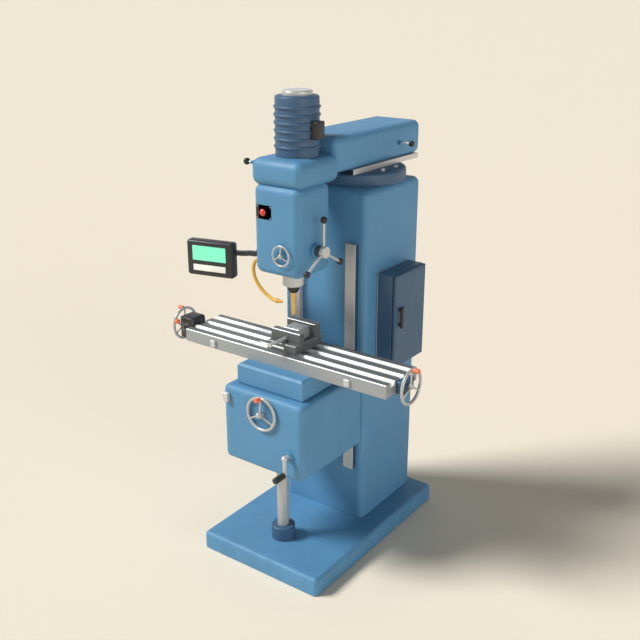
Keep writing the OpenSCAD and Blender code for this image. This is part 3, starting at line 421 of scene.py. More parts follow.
# %% Materials of bare metal
STEEL = (0.60, 0.61, 0.61)
BRIGHT = (0.74, 0.75, 0.75)
lines_z, lines_x, lines_y = (700, 700, 6), (6, 900, 900), (900, 6, 900)
round_z, even = (12, 12, 900), (500, 500, 500)
WAY_SIDE, SLIDE_END = 175.6, 40.5
FEED_AXIS = (0, -228, 1433)
HUB_R, HUB_FROM, HUB_TO = 30, 50, 158


# Painted shade: these three masks colour the faces that lie in shade dark.
def shade_on_way_sides(wires):
    return wires.above(wires.math("ABSOLUTE", wires.xyz()[0]), WAY_SIDE)


def shade_on_slide_end(wires):
    return wires.below(wires.xyz()[1], SLIDE_END)


def shade_on_hub_flank(wires):
    x, y, z = wires.xyz()
    off_axis = [wires.math("POWER", wires.math("SUBTRACT", value, middle * MM), 2.0)
                for value, middle in ((y, FEED_AXIS[1]), (z, FEED_AXIS[2]))]
    inside = wires.math("LESS_THAN", wires.math("ADD", *off_axis), (HUB_R * MM) ** 2)
    return wires.both(inside, wires.band(x, HUB_FROM, HUB_TO))


# The dark mask colours of ways_steel, slide_steel and hub_steel are painted shade.
ways_steel = surface("ways_steel", machining, (0.52, 0.53, 0.53), metallic=0.3, distance=0.00003, Run=lines_z,
                     masks=[(shade_on_way_sides, (0.03, 0.085, 0.15))], Depth=0.1, Smooth=0.32, Rough=0.46)
slide_steel = surface("slide_steel", machining, (0.66, 0.66, 0.65), metallic=0.5, distance=0.00005,
                      masks=[(shade_on_slide_end, (0.02, 0.05, 0.09))], Run=lines_y, Depth=0.12, Smooth=0.3, Rough=0.42)
# The BRIGHT edge colour is a painted highlight on the rims of turned parts.
turned_steel = surface("turned_steel", machining, STEEL, BRIGHT, 0.0015, metallic=0.3, distance=0.00001,
                       Run=round_z, Depth=0.05, Smooth=0.3, Rough=0.4)
bright_steel = surface("bright_steel", machining, (0.62, 0.625, 0.62), metallic=0.3, distance=0.00001,
                       Run=even, Depth=0.04, Smooth=0.28, Rough=0.38)
wheel_steel = surface("wheel_steel", machining, (0.52, 0.525, 0.515), metallic=0.3, distance=0.00001,
                      Run=even, Depth=0.04, Smooth=0.3, Rough=0.4)
hub_steel = surface("hub_steel", machining, (0.60, 0.605, 0.60), metallic=0.3, distance=0.00001,
                    masks=[(shade_on_hub_flank, (0.085, 0.11, 0.13))], Run=even, Depth=0.04, Smooth=0.28, Rough=0.38)
post_steel = surface("post_steel", machining, (0.50, 0.505, 0.50), metallic=0.35, distance=0.00001,
                     Run=round_z, Depth=0.06, Smooth=0.3, Rough=0.4)
cap_alloy = surface("cap_alloy", machining, (0.62, 0.63, 0.62), metallic=0.35, distance=0.00008, Run=round_z,
                    Depth=0.06, Smooth=0.22, Rough=0.36)
gold = surface("gold_coating", machining, (0.78, 0.50, 0.13), metallic=0.55, distance=0.00003, Run=round_z,
               Depth=0.08, Smooth=0.28, Rough=0.4)
# The block's top edges get a painted highlight in the lighter colour.
block_alloy = surface("block_alloy", machining, (0.40, 0.42, 0.42), (0.62, 0.63, 0.62), 0.002, True,
                      metallic=0.4, distance=0.00005, Run=(900, 900, 12), Depth=0.14, Smooth=0.3, Rough=0.42)

# %% [markdown]
# ## Table and vise
# The table's lands are dark, oiled iron, while the sloping mouths of its T-slots catch the light as
# three white stripes, which are painted highlights; the front edge gets a painted highlight as well,
# and so do the top edges of the vise's two jaws. A photograph or painted map could carry the tones;
# masks made from the Object coordinates stay sharp and follow the slots' own dimensions.

# %% Materials of the table and the vise
SLOT_YS, SLOT_HALF, TABLE_TOP = (-277, -208, -139), 17.3, 979.5
MOUTH_LOW, LAND_SKIN = 960.5, 0.4
FRONT_EDGE, EDGE_LOW = -320.5, 977.2
FIXED_JAW, FIXED_TOP = (-158.5, -150), 1075.2
MOVING_JAW, MOVING_TOP = -260.5, 1063.5
# This white is the colour of the painted highlights below.
PAINTED_HIGHLIGHT_WHITE = (0.93, 0.94, 0.93)


def on_lands(wires):
    return wires.above(wires.xyz()[2], TABLE_TOP - LAND_SKIN)


# Painted highlight: the slot mouths are coloured white where they catch the light.
def highlight_in_mouths(wires):
    x, y, z = wires.xyz()
    total = 0.0
    for slot_y in SLOT_YS:
        offset = wires.math("ABSOLUTE", wires.math("SUBTRACT", y, slot_y * MM))
        total = wires.math("ADD", total, wires.below(offset, SLOT_HALF))
    return wires.both(total, wires.band(z, MOUTH_LOW, TABLE_TOP - 0.1))


# Painted highlight along the table's front top edge.
def highlight_on_front_edge(wires):
    x, y, z = wires.xyz()
    return wires.both(wires.below(y, FRONT_EDGE), wires.above(z, EDGE_LOW))


# Painted highlight along the top edges of the two jaws.
def highlight_on_jaw_edges(wires):
    x, y, z = wires.xyz()
    fixed = wires.both(wires.band(y, *FIXED_JAW), wires.above(z, FIXED_TOP))
    moving = wires.both(wires.below(y, MOVING_JAW), wires.above(z, MOVING_TOP))
    return wires.math("ADD", fixed, moving)


table_iron = surface("table_iron", machining, (0.345, 0.365, 0.365), distance=0.00008, Run=lines_x, Depth=0.14,
                     masks=[(on_lands, (0.155, 0.165, 0.165)), (highlight_in_mouths, PAINTED_HIGHLIGHT_WHITE),
                            (highlight_on_front_edge, PAINTED_HIGHLIGHT_WHITE)], metallic=0.1, Smooth=0.34, Rough=0.48)
# The vise's top edges get a painted highlight, from the edge group and from the mask.
vise_iron = surface("vise_iron", machining, (0.125, 0.133, 0.135), PAINTED_HIGHLIGHT_WHITE, 0.0028, True, distance=0.00008,
                    masks=[(highlight_on_jaw_edges, PAINTED_HIGHLIGHT_WHITE)], metallic=0.15, Run=(40, 40, 900), Depth=0.18,
                    Smooth=0.36, Rough=0.5)

# %% [markdown]
# ## Plastics, rubber and the readout
# Knobs and boxes are black thermoset with a fine pebble; the grips of the wheels are orange. The
# readout's screen glows mint green by itself, so it is emission under a clear cover, with the
# faint cells of its panel.

# %% Materials of plastics, rubber and screen
BLACK = (0.028, 0.028, 0.029)
# The lighter edge colour is a painted highlight along the edges.
black_plastic = surface("black_plastic", moulded, BLACK, (0.075, 0.075, 0.075), 0.0015, distance=0.00015,
                        strength=0.35, Smooth=0.34, Rough=0.48)
ORANGE = (0.86, 0.175, 0.055)
orange_plastic = surface("orange_plastic", moulded, ORANGE, distance=0.0001, strength=0.25,
                         coat=0.2, Smooth=0.3, Rough=0.42)
red_plastic = surface("red_plastic", moulded, (0.74, 0.035, 0.025), distance=0.00005, strength=0.2, coat=0.5,
                      Size=1200.0, Smooth=0.2, Rough=0.3)
rubber = surface("yellow_hose", moulded, (0.74, 0.42, 0.055), distance=0.0001, strength=0.3, Size=500.0,
                 Smooth=0.42, Rough=0.55)
# The lighter edge colour is a painted highlight along the edges.
blackened = surface("black_steel", machining, (0.035, 0.035, 0.036), (0.12, 0.12, 0.12), 0.0012, metallic=0.4,
                    distance=0.00005, Run=round_z, Depth=0.2, Smooth=0.3, Rough=0.42)
hose.data.materials.append(rubber)

screen, wires, shader = new_material("screen")
MINT = (0.26, 1.0, 0.62)
cells = wires.node("ShaderNodeTexBrick", {"Vector": wires.vector("MULTIPLY", wires.place(), (1, 0, 1)),
                                          "Scale": 250.0, "Mortar Size": 0.03, "Color1": MINT, "Color2": MINT,
                                          "Mortar": tuple(c * 0.9 for c in MINT)}, offset=0.0)
glow = wires.tint(cells.outputs[0], wires.remap(wires.noise(wires.place(), 9.0), 0.3, 0.7, 0.96, 1.03))
wires.put(shader.inputs["Emission Color"], glow)
shader.inputs["Emission Strength"].default_value = 1.0
wires.put(shader.inputs["Base Color"], wires.tint(glow, 0.12))
shader.inputs["Roughness"].default_value = 0.25

key_strip = surface("key_strip", moulded, (0.99, 0.99, 0.92), distance=0.0001, strength=0.2, Size=900.0,
                    Smooth=0.4, Rough=0.5)

# %% [markdown]
# ## Levers with two finishes
# A ball lever is one solid, yet its rod is bright and its ball is black. A mask of the distance
# to the ball's centre switches the colour without cutting the mesh. The cabinet is one solid as
# well: behind its door a pale steel plate carries black switchgear, told apart by masks of depth.

# %% Materials of the levers and of the switchgear
GEAR_PLATE, SWITCHGEAR = (218.6, 222.3), ((222.4, 276.2), (100.2, 345), (850, 1270))


def two_tone(name, colour, ball_colour, ball_centre, ball_radius):
    """The finish of a rod that carries a ball of another colour."""

    def ball(wires):
        return wires.near(ball_centre, ball_radius)

    return surface(name, machining, colour, masks=[(ball, ball_colour)], distance=0.00004, metallic=0.25,
                   Run=(60, 60, 60), Depth=0.08, Smooth=0.24, Rough=0.36)


ram_lever = two_tone("ram_lever", BRIGHT, BLACK, (190, 395, 1786), 14.2)
head_lever = two_tone("head_lever", BRIGHT, BLACK, (-167, -297, 1773), 14.8)
trip_lever = two_tone("trip_lever", (0.2, 0.2, 0.2), ORANGE, (-604.5, -306, 992), 12.8)


def on_gear_plate(wires):
    return wires.band(wires.xyz()[0], *GEAR_PLATE)


def on_gear(wires):
    inside = [wires.band(value, *limits) for value, limits in zip(wires.xyz(), SWITCHGEAR)]
    return wires.both(wires.both(inside[1], inside[2]), inside[0])


# DARK_EDGE is a painted highlight along the edges here too.
cabinet_paint = surface("cabinet_paint", cast_skin, DARK, DARK_EDGE, 0.002, coat=0.12, distance=0.0004,
                        strength=0.25, Smooth=0.38, Rough=0.48, Grime=0.1,
                        masks=[(on_gear_plate, (0.55, 0.55, 0.53)), (on_gear, (0.07, 0.07, 0.072))])

# %% [markdown]
# ## Screws from one recipe
# Socket screws hold every cover. Each is the same shape at a different place and size, so one
# Geometry Nodes tree makes them: a short cylinder whose top is inset and sunk for the key, put on
# each point of a seed mesh and turned to the direction stored there. Copying meshes by hand would
# do it too, but here the radius and height stay open as inputs.

# %% A tree that puts cap screws on points


def geometry(name, inputs):
    """A Geometry Nodes tree with named inputs after its seed geometry."""
    tree = bpy.data.node_groups.new(name, "GeometryNodeTree")
    tree.interface.new_socket("Seeds", in_out="INPUT", socket_type="NodeSocketGeometry")
    for label, kind, value in inputs:
        made = tree.interface.new_socket(label, in_out="INPUT", socket_type="NodeSocket" + kind)
        if value is not None:
            made.default_value = value
    tree.interface.new_socket("Geometry", in_out="OUTPUT", socket_type="NodeSocketGeometry")
    print("tree", name, "with inputs", [label for label, kind, value in inputs])
    return Wires(tree), tree.nodes.new("NodeGroupInput").outputs, tree.nodes.new("NodeGroupOutput").inputs


def finish_tree(wires, give, mesh, material):
    """Close a tree: its instances become one mesh in one material."""
    real = wires.node("GeometryNodeRealizeInstances", {0: mesh}).outputs[0]
    wires.put(give[0], wires.node("GeometryNodeSetMaterial", {"Geometry": real, "Material": material}).outputs[0])


def on_seeds(wires, seeds, instance):
    """The instance on every seed, its Z turned to the stored facing and its X to the stored along."""
    facing, along = [wires.node("GeometryNodeInputNamedAttribute", {"Name": name},
                                data_type="FLOAT_VECTOR").outputs[0] for name in ("facing", "along")]
    turned = wires.node("FunctionNodeAlignRotationToVector", {"Vector": facing}, axis="Z").outputs[0]
    turned = wires.node("FunctionNodeAlignRotationToVector", {"Rotation": turned, "Vector": along}, axis="X",
                        pivot_axis="Z").outputs[0]
    return wires.node("GeometryNodeInstanceOnPoints", {"Points": seeds, "Instance": instance,
                                                       "Rotation": turned}).outputs[0]


def stacked(wires, take, axis, instance):
    """Count copies of an instance, each a Pitch further along one axis."""
    step = wires.node("ShaderNodeCombineXYZ", {axis: take["Pitch"]}).outputs[0]
    line = wires.node("GeometryNodeMeshLine", {"Count": take["Count"], "Offset": step}).outputs[0]
    return wires.node("GeometryNodeInstanceOnPoints", {"Points": line, "Instance": instance}).outputs[0]


wires, take, give = geometry("cap screws", [("Radius", "Float", 0.004), ("Height", "Float", 0.003),
                                            ("Material", "Material", None)])
shank = wires.node("GeometryNodeMeshCylinder", {"Vertices": 16, "Radius": take["Radius"],
                                                "Depth": wires.math("MULTIPLY", take["Height"], 2.0)})
rim = wires.node("GeometryNodeExtrudeMesh", {"Mesh": shank.outputs["Mesh"], "Selection": shank.outputs["Top"],
                                             "Offset Scale": wires.math("MULTIPLY", take["Height"], 0.2)})
chamfer = wires.node("GeometryNodeScaleElements", {"Geometry": rim.outputs["Mesh"],
                                                   "Selection": rim.outputs["Top"], "Scale": 0.86})
inset = wires.node("GeometryNodeExtrudeMesh", {"Mesh": chamfer.outputs[0], "Selection": rim.outputs["Top"],
                                               "Offset Scale": 0.0})
small = wires.node("GeometryNodeScaleElements", {"Geometry": inset.outputs["Mesh"],
                                                 "Selection": inset.outputs["Top"], "Scale": 0.6})
sunk = wires.node("GeometryNodeExtrudeMesh", {"Mesh": small.outputs[0], "Selection": inset.outputs["Top"],
                                              "Offset Scale": wires.math("MULTIPLY", take["Height"], -1.0)})
finish_tree(wires, give, on_seeds(wires, take["Seeds"], sunk.outputs["Mesh"]), take["Material"])
screw_tree = wires.tree


def grow(name, tree, seeds, material, body, slot, along=(1, 0, 0), joined=False, **sizes):
    """Run a tree on seeds, each (place in mm, facing), and keep the result as one plain mesh.

    Joined seeds are the corners of one line. Sizes with a point are lengths in mm, and whole
    numbers go in as they are.
    """
    points = bpy.data.meshes.new(name + "_seeds")
    links = [(k, k + 1) for k in range(len(seeds) - 1)] if joined else []
    points.from_pydata([tuple(c * MM for c in place) for place, facing in seeds], links, [])
    for label, values in (("facing", [facing for place, facing in seeds]), ("along", [along] * len(seeds))):
        stored = points.attributes.new(label, "FLOAT_VECTOR", "POINT")
        for item, value in zip(stored.data, values):
            item.vector = value
    holder = bpy.data.objects.new(name + "_seeds", points)
    scene.collection.objects.link(holder)
    modifier = holder.modifiers.new("grow", "NODES")
    modifier.node_group = tree
    sockets = {item.name: item.identifier for item in tree.interface.items_tree if item.in_out == "INPUT"}
    for label, value in sizes.items():
        modifier[sockets[label.replace("_", " ")]] = value * MM if isinstance(value, float) else value
    modifier[sockets["Material"]] = material
    evaluated = holder.evaluated_get(bpy.context.evaluated_depsgraph_get())
    mesh = bpy.data.meshes.new_from_object(evaluated)
    bpy.data.objects.remove(holder)
    mesh.name = name
    return settle(name, mesh, body)


def settle(name, mesh, body):
    """Link a finished mesh as a piece that rides on a body."""
    mesh.shade_smooth()
    mesh.set_sharp_from_angle(angle=math.radians(35))
    made = bpy.data.objects.new(name, mesh)
    scene.collection.objects.link(made)
    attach(made, body)
    print(name, "faces", len(mesh.polygons), "on", body)
    return made


def corners(centre, across, up, facing):
    """Four places round a centre, with the way their screws face."""
    centre, across, up = map(Vector, (centre, across, up))
    return [(tuple(centre + i * across + k * up), facing) for i in (-1, 1) for k in (-1, 1)]


# %% [markdown]
# ## Where the screws sit
# The switch plate, the screw's bracket and the rear cover have a screw near each corner, and the
# cabinet's terminals and contactors have one per wire. Every set is one run of the tree, so that
# it is one mesh on one body. Rows come from ranges instead of a list of places.

# %% Screws on every cover
RIGHT, FRONT, BACK, UP = (1, 0, 0), (0, -1, 0), (0, 1, 0), (0, 0, 1)
COVER_ZS = (658, 904, 1150)
grow("switch_plate_screws", screw_tree, corners((-57, -332, 1586), (33, 0, 0), (0, 0, 23), FRONT),
     bright_steel, "head", "bright_steel", Radius=2.6, Height=1.2)
grow("bracket_screws", screw_tree, corners((565.5, -208, 946), (0, 35, 0), (0, 0, 19), RIGHT),
     blackened, "table", "ground_steel", Radius=4.5, Height=3.0)
grow("column_cover_screws", screw_tree, [((x, 453, z), BACK) for x in (-111, 111) for z in COVER_ZS],
     bright_steel, "frame", "bright_steel", Radius=5.4, Height=2.0)
grow("gear_terminal_screws", screw_tree,
     [((254, 147 + 19 * k, z), RIGHT) for k in range(9) for z in (914, 934)],
     bright_steel, "frame", "bright_steel", Radius=3.4, Height=1.2)
grow("contactor_screws", screw_tree,
     [((270, y + 7.5 + 10 * k, z), RIGHT) for y in (135, 195, 255) for k in range(4) for z in (1134, 1194)],
     bright_steel, "frame", "bright_steel", Radius=2.8, Height=1.0)

# %% [markdown]
# ## Turned and rounded forms
# Castings have generous round edges whose corners are part of a ball, and a motor is a turned
# form. Two helpers make them: a box whose edges are all bevelled by one radius, and a line of
# (radius, height) pairs spun round an axis. Bores are cut with a Boolean, because the quill, the
# shafts and the gears run inside.

# %% Helpers for rounded boxes, turned forms and bores


def as_mesh(name, body):
    """A finished body as a mesh whose normals point outwards."""
    bmesh.ops.recalc_face_normals(body, faces=body.faces)
    mesh = bpy.data.meshes.new(name)
    body.to_mesh(mesh)
    body.free()
    return mesh


def rounded_box(low, high, radius, steps=6):
    """A box between two corners in mm with all of its edges rounded."""
    body = bmesh.new()
    bmesh.ops.create_cube(body, size=1)
    for vert in body.verts:
        vert.co = Vector([(a if c < 0 else b) * MM for c, a, b in zip(vert.co, low, high)])
    bmesh.ops.bevel(body, geom=body.edges[:], offset=radius * MM, segments=steps, profile=0.5, affect="EDGES")
    return body


def turned_form(profile, centre, axis="Z", steps=96):
    """Spin a line of (radius, height) in mm that starts and ends on the axis, or is a ring."""
    body = bmesh.new()
    spin = {"Z": Matrix.Identity(3), "X": Matrix.Rotation(math.radians(90), 3, "Y"),
            "Y": Matrix.Rotation(math.radians(-90), 3, "X")}[axis]
    on_axis = profile[0][0] == 0
    rings = []
    for radius, height in profile:
        count = 1 if radius == 0 else steps
        rings.append([body.verts.new((Vector(centre) + spin @ Vector((
            radius * math.cos(2 * math.pi * k / steps), radius * math.sin(2 * math.pi * k / steps), height))) * MM)
            for k in range(count)])
    pairs = list(zip(rings, rings[1:])) + ([] if on_axis else [(rings[-1], rings[0])])
    for a, b in pairs:
        for k in range(steps):
            corners_of_face = []
            for vert in (a[k % len(a)], a[(k + 1) % len(a)], b[(k + 1) % len(b)], b[k % len(b)]):
                if vert not in corners_of_face:
                    corners_of_face.append(vert)
            body.faces.new(corners_of_face)
    return body


def arc(centre, radius, start, end, steps=6):
    """Points of a quarter or other arc in a turned form's (radius, height) plane."""
    return [(centre[0] + radius * math.cos(math.radians(start + (end - start) * k / steps)),
             centre[1] + radius * math.sin(math.radians(start + (end - start) * k / steps)))
            for k in range(steps + 1)]


def rod(radius, start, end, centre, axis="Z", steps=64, edge=0.0):
    """A solid round bar along an axis, with rounded ends where edge is set."""
    ends = [(0, end)] + (arc((radius - edge, end - edge), edge, 90, 0, 4) if edge else [(radius, end)])
    ends += (arc((radius - edge, start + edge), edge, 0, -90, 4) if edge else [(radius, start)]) + [(0, start)]
    return turned_form(ends, centre, axis, steps)


def ring(inner, outer, start, end, centre, axis="Z", steps=64, edge=1.5):
    """A round bushing with rounded outer edges."""
    line = [(inner, end)] + arc((outer - edge, end - edge), edge, 90, 0, 4)
    return turned_form(line + arc((outer - edge, start + edge), edge, 0, -90, 4) + [(inner, start)],
                       centre, axis, steps)


def put_together(name, bodies):
    """Several closed forms in one mesh."""
    whole = bmesh.new()
    for body in bodies:
        part = as_mesh(name, body)
        whole.from_mesh(part)
        bpy.data.meshes.remove(part)
    return as_mesh(name, whole)


def shaped(name, mesh, forms, operation):
    """What a Boolean with some forms leaves of a mesh."""
    made = bpy.data.objects.new(name, mesh)
    tool = bpy.data.objects.new(name + "_tool", put_together(name, forms))
    for item in (made, tool):
        scene.collection.objects.link(item)
    cut = made.modifiers.new("cut", "BOOLEAN")
    cut.object, cut.operation, cut.solver, cut.use_self = tool, operation, "EXACT", True
    result = bpy.data.meshes.new_from_object(made.evaluated_get(bpy.context.evaluated_depsgraph_get()))
    for item in (made, tool):
        bpy.data.objects.remove(item)
    return result


def bored(name, body, cutters):
    """The form with bores cut out of it."""
    mesh = shaped(name, as_mesh(name, body), cutters, "DIFFERENCE")
    body = bmesh.new()
    body.from_mesh(mesh)
    bpy.data.meshes.remove(mesh)
    return body


def dress(name, mesh, material, body, slot, *replaced):
    """Give a finished mesh its material and body, and let it stand for solids."""
    mesh.materials.clear()
    mesh.materials.append(material)
    made = settle(name, mesh, body)
    if replaced:
        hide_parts(*replaced)
    return made


# %% [markdown]
# ## Motor
# The motor is a dark blue can with six rounded cooling ribs, a plain band above them and a pale
# cap. The can and the cap are turned forms. The ribs are one ring repeated up the can, so they
# are a Geometry Nodes tree with the ring's radius and thickness, the count and the pitch open.

# %% The can
MOTOR, MOTOR_FOOT = (0, -180), 1798
can = [(0, 236)] + arc((79, 226), 10, 90, 0)
can += [(89, 0), (13.4, 0), (13.4, 30), (60, 30), (60, 199.5), (0, 199.5)]
dress("motor_can", as_mesh("motor_can", turned_form(can, (*MOTOR, MOTOR_FOOT))), dark_paint, "head", "dark_paint",
      "motor_body")

# %% A tree that stacks ribs
wires, take, give = geometry("cooling ribs", [("Radius", "Float", 0.09), ("Thickness", "Float", 0.012),
                                              ("Count", "Int", 6), ("Pitch", "Float", 0.03),
                                              ("Material", "Material", None)])
loop = wires.node("GeometryNodeCurvePrimitiveCircle", {"Resolution": 96, "Radius": take["Radius"]}).outputs[0]
section = wires.node("GeometryNodeCurvePrimitiveCircle", {
    "Resolution": 14, "Radius": wires.math("MULTIPLY", take["Thickness"], 0.5)}).outputs[0]
rib = wires.node("GeometryNodeCurveToMesh", {"Curve": loop, "Profile Curve": section}).outputs[0]
finish_tree(wires, give, on_seeds(wires, take["Seeds"], stacked(wires, take, 2, rib)), take["Material"])
grow("motor_ribs", wires.tree, [((*MOTOR, MOTOR_FOOT + 38.5), UP)], dark_paint, "head", "dark_paint", Radius=88.0,
     Thickness=13.0, Count=6, Pitch=30.8)

# %% Cap and terminal box
cap = [(0, 2056), (30, 2056)] + arc((54, 2047), 9, 80, 0) + arc((60.5, 2036), 1.5, 0, -90, 3) + [(0, 2034.5)]
dress("motor_crown", as_mesh("motor_crown", turned_form(cap, (*MOTOR, -1))),
      cap_alloy, "head", "cap_alloy", "motor_cap")
dress("motor_terminals", as_mesh("motor_terminals", rounded_box((78, -209, 1871), (120, -157, 1941), 6)),
      black_plastic, "head", "black_plastic", "terminal_box")
grow("terminal_screws", screw_tree, corners((120, -183, 1906), (0, 17, 0), (0, 0, 26), RIGHT),
     blackened, "head", "black_steel", Radius=2.2, Height=0.8)

# %% [markdown]
# ## Head and gear cover
# The head and the cover over its gears are blue castings with edges as round as a hand. Each is
# a rounded box with the bores of the quill, the sleeve and the feed shafts cut in, plus the
# bosses that carry the wheels and the brake lever. One bevel on the solid's own edges would be
# quicker, but it can't make the ball corners where three round edges meet a bore.

# %% Head casting
SPINDLE = (0, -216)
FINE_AXIS = (36, 0, 1421)
head_form = bored("head_form", rounded_box((-115.5, -332, 1325), (117, -108, 1696), 34, 8), [
    turned_form([(0, 390), (28.4, 390), (28.4, 232), (45.5, 232), (45.5, 0), (0, 0)], (*SPINDLE, 1310)),
    rod(11.5, 6, 130, FEED_AXIS, "X"), rod(5.5, -345, -288, FINE_AXIS, "Y")])
bosses = [ring(11.5, 30, 112, 133, FEED_AXIS, "X"), ring(5.5, 14, -340, -328, FINE_AXIS, "Y")]
dress("head_shell", put_together("head_shell", [head_form, *bosses]), blue_paint, "head", "blue_paint",
      "head_casting")

# %% Gear cover with the brake lever's ears
EAR, EAR_GAP = 2.5, 8


def lever_ears(x_low, x_high, y, z_low, z_high):
    """Two thin ears with a lever's pivot between them."""
    return [rounded_box((x_low, middle - EAR, z_low), (x_high, middle + EAR, z_high), 1.5, 2)
            for middle in (y - EAR_GAP, y + EAR_GAP)]


cover_form = bored("cover_form", rounded_box((-131, -330, 1687), (127, -54, 1798), 38, 8), [
    rod(34, 1680, 1785, (*SPINDLE, 0)),
    turned_form([(0, 130), (13.4, 130), (13.4, 77), (34, 77), (34, 0), (0, 0)], (*MOTOR, 1708))])
fork = [rod(10, -131, -126, (0, -297, 1773), "X", edge=1.0), *lever_ears(-142, -126, -297, 1767, 1779)]
dress("gear_cover", put_together("gear_cover", [cover_form, *fork]), blue_paint, "head", "blue_paint",
      "gear_housing")

# %% [markdown]
# ## Base and column
# Base and column are box castings. Their edges are rounded as widely as a thumb, which is what
# makes them look cast rather than welded, so each is again one rounded box. Where a casting
# stands on the floor or on another casting it is cut flat and gets a foot that is set in by a few
# millimetres, because that recess is what shows as a thin dark line. The column is bored for the
# turret's spigot. A bevel on the solids' own edges would be shorter, but it stops at every bore.

# %% Castings that stand on a foot
FOOT_LOW, FOOT_HIGH, FOOT_DEPTH = 2.5, 3, 40


def cut_flat(body, height, keep_above):
    """Cut a body level at a height in mm, keep one half and close it."""
    cut = bmesh.ops.bisect_plane(body, geom=body.verts[:] + body.edges[:] + body.faces[:],
                                 plane_co=(0, 0, height * MM), plane_no=(0, 0, 1), clear_inner=keep_above,
                                 clear_outer=not keep_above)
    bmesh.ops.holes_fill(body, edges=[item for item in cut["geom_cut"] if isinstance(item, bmesh.types.BMEdge)])


def standing(low, high, radius, recess=4, steps=8):
    """A rounded box cut flat at its foot, on a slightly smaller foot of its own."""
    (x, y, floor_z), (far_x, far_y, top) = low, high
    body = rounded_box((x, y, floor_z - 2 * radius), high, radius, steps)
    cut_flat(body, floor_z + FOOT_LOW, True)
    foot = rounded_box((x + recess, y + recess, floor_z - FOOT_DEPTH),
                       (far_x - recess, far_y - recess, floor_z + FOOT_DEPTH), radius - recess, 3)
    cut_flat(foot, floor_z, True)
    cut_flat(foot, floor_z + FOOT_HIGH, False)
    return [body, foot]


TURRET = (0, 250, 1641)
BASE_TOP, COLUMN_TOP = 84, TURRET[2]
dress("base_casting", put_together("base_casting", standing((-318, -497, 0), (321, 486, BASE_TOP), 20)),
      blue_paint, "frame", "blue_paint", "base")
column_form, column_foot = standing((-226, 8, BASE_TOP), (215, 447, COLUMN_TOP), 30)
spigot_bore = rod(80.05, COLUMN_TOP - 20.5, COLUMN_TOP + 19, (0, TURRET[1], 0))
column_form = bored("column_form", column_form, [spigot_bore])
dress("column_casting", put_together("column_casting", [column_form, column_foot]), blue_paint,
      "frame", "blue_paint", "column")

# %% [markdown]
# ## Turret
# The turret is a turned disc with a rounded rim and a spigot in the column. On it stands the
# dovetail key that guides the ram. The disc is a spun line and the key a drawn outline pushed
# out to its length, the two ways in which the real ones are machined.

# %% Disc with spigot, and dovetail key
disc_line = [(0, 54)] + arc((204, 40), 14, 90, 0, 8) + arc((215, 3), 3, 0, -90, 3) + [(80, 0), (80, -20), (0, -20)]
KEY_OUTLINE = [(-38, 49), (38, 49), (38, 54), (50, 74), (-50, 74), (-38, 54)]
KEY_HALF = 150
key = bmesh.new()
ends = [[key.verts.new((Vector(TURRET) + Vector((x, side * KEY_HALF, z))) * MM) for x, z in KEY_OUTLINE]
        for side in (-1, 1)]
key.faces.new(ends[0])
key.faces.new(ends[1][::-1])
for a, b, c, d in zip(ends[0], ends[1], ends[1][1:] + ends[1][:1], ends[0][1:] + ends[0][:1]):
    key.faces.new((a, b, c, d))
dress("turret_base", put_together("turret_base", [turned_form(disc_line, TURRET), key]), dark_paint,
      "turret", "dark_paint", "turret_ring")

# %% [markdown]
# ## Ram and rear covers
# The ram is a rounded box as well, with the seat of the tilt pivot in its front and a boss with
# two ears for the lock lever on its right. Its rear end and the column's back are closed by thin
# screwed covers in the darker paint, so each cover is a piece of its own.

# %% Ram with its boss, and the two covers
LOCK_LEVER = (0, 395, 1786)
dress("rear_cover", as_mesh("rear_cover", rounded_box((-125, 440, 644), (125, 451, 1164), 4, 3)), dark_paint,
      "frame", "dark_paint")
ram_form = bored("ram_form", rounded_box((-125, -84, 1717), (125, 588, 1866), 31, 8), [
    rod(34.1, -90, -53, (0, 0, 1757), "Y")])
lock_boss = [rod(10, 120, 130, LOCK_LEVER, "X", edge=1.0), *lever_ears(126, 140, LOCK_LEVER[1], 1780, 1792)]
dress("ram_casting", put_together("ram_casting", [ram_form, *lock_boss]), blue_paint, "ram", "blue_paint", "ram")
dress("ram_cover", as_mesh("ram_cover", rounded_box((-95, 580, 1746), (95, 592, 1836), 4, 3)), dark_paint, "ram",
      "dark_paint")
grow("ram_cover_screws", screw_tree, corners((0, 592, 1791), (83, 0, 0), (0, 0, 34), BACK), blackened, "ram",
     "black_steel", Radius=5.0, Height=2.5)

# %% [markdown]
# ## Knee and power feed
# The knee has guides, a nut slot and bores that must stay exactly where the saddle and the
# screws run. So its form starts from the solid's own mesh: the left side is moved out, and an
# intersection with a rounded box takes only the outer edges off. The power feed's case is
# rounded in the same way and keeps the bores of the table screw and the trip lever.

# %% Solids with rounder outer edges


def rounded_off(name, source, forms, move=None):
    """The solid's own mesh with its bores and grooves, cut down to rounder outer forms."""
    copy = nodes[source].data.copy()
    copy.transform(nodes[source].matrix_world)
    for vert in copy.vertices:
        if move:
            vert.co = move(vert.co)
    return shaped(name, copy, forms, "INTERSECT")


def wider(place):
    """The knee's left side moved out by 14 mm."""
    return Vector((place.x - 14 * MM if place.x < -200 * MM else place.x, place.y, place.z))


knee_forms = [rounded_box((-221, -437, 479), (207, 40, 831), 26, 8),
              rod(19.8, -450.5, -430, (140, 0, 596), "Y", edge=1.5)]
dress("knee_casting", rounded_off("knee_casting", "knee", knee_forms, wider), blue_paint, "knee", "blue_paint",
      "knee")
dress("feed_motor_case", rounded_off("feed_motor_case", "power_feed", [
    rounded_box((-619.5, -284, 903), (-533.5, -190, 1010), 15, 6)]), black_plastic, "table", "black_plastic",
    "power_feed")

# %% [markdown]
# ## Louvres
# The rear cover breathes through two rows of pressed louvres, low domes longer than they are
# high. Each is a sphere squashed to width, thickness and rise and half sunk in the cover. The
# tree stacks them at a pitch, so the same recipe gives the small vents of the readout further on.

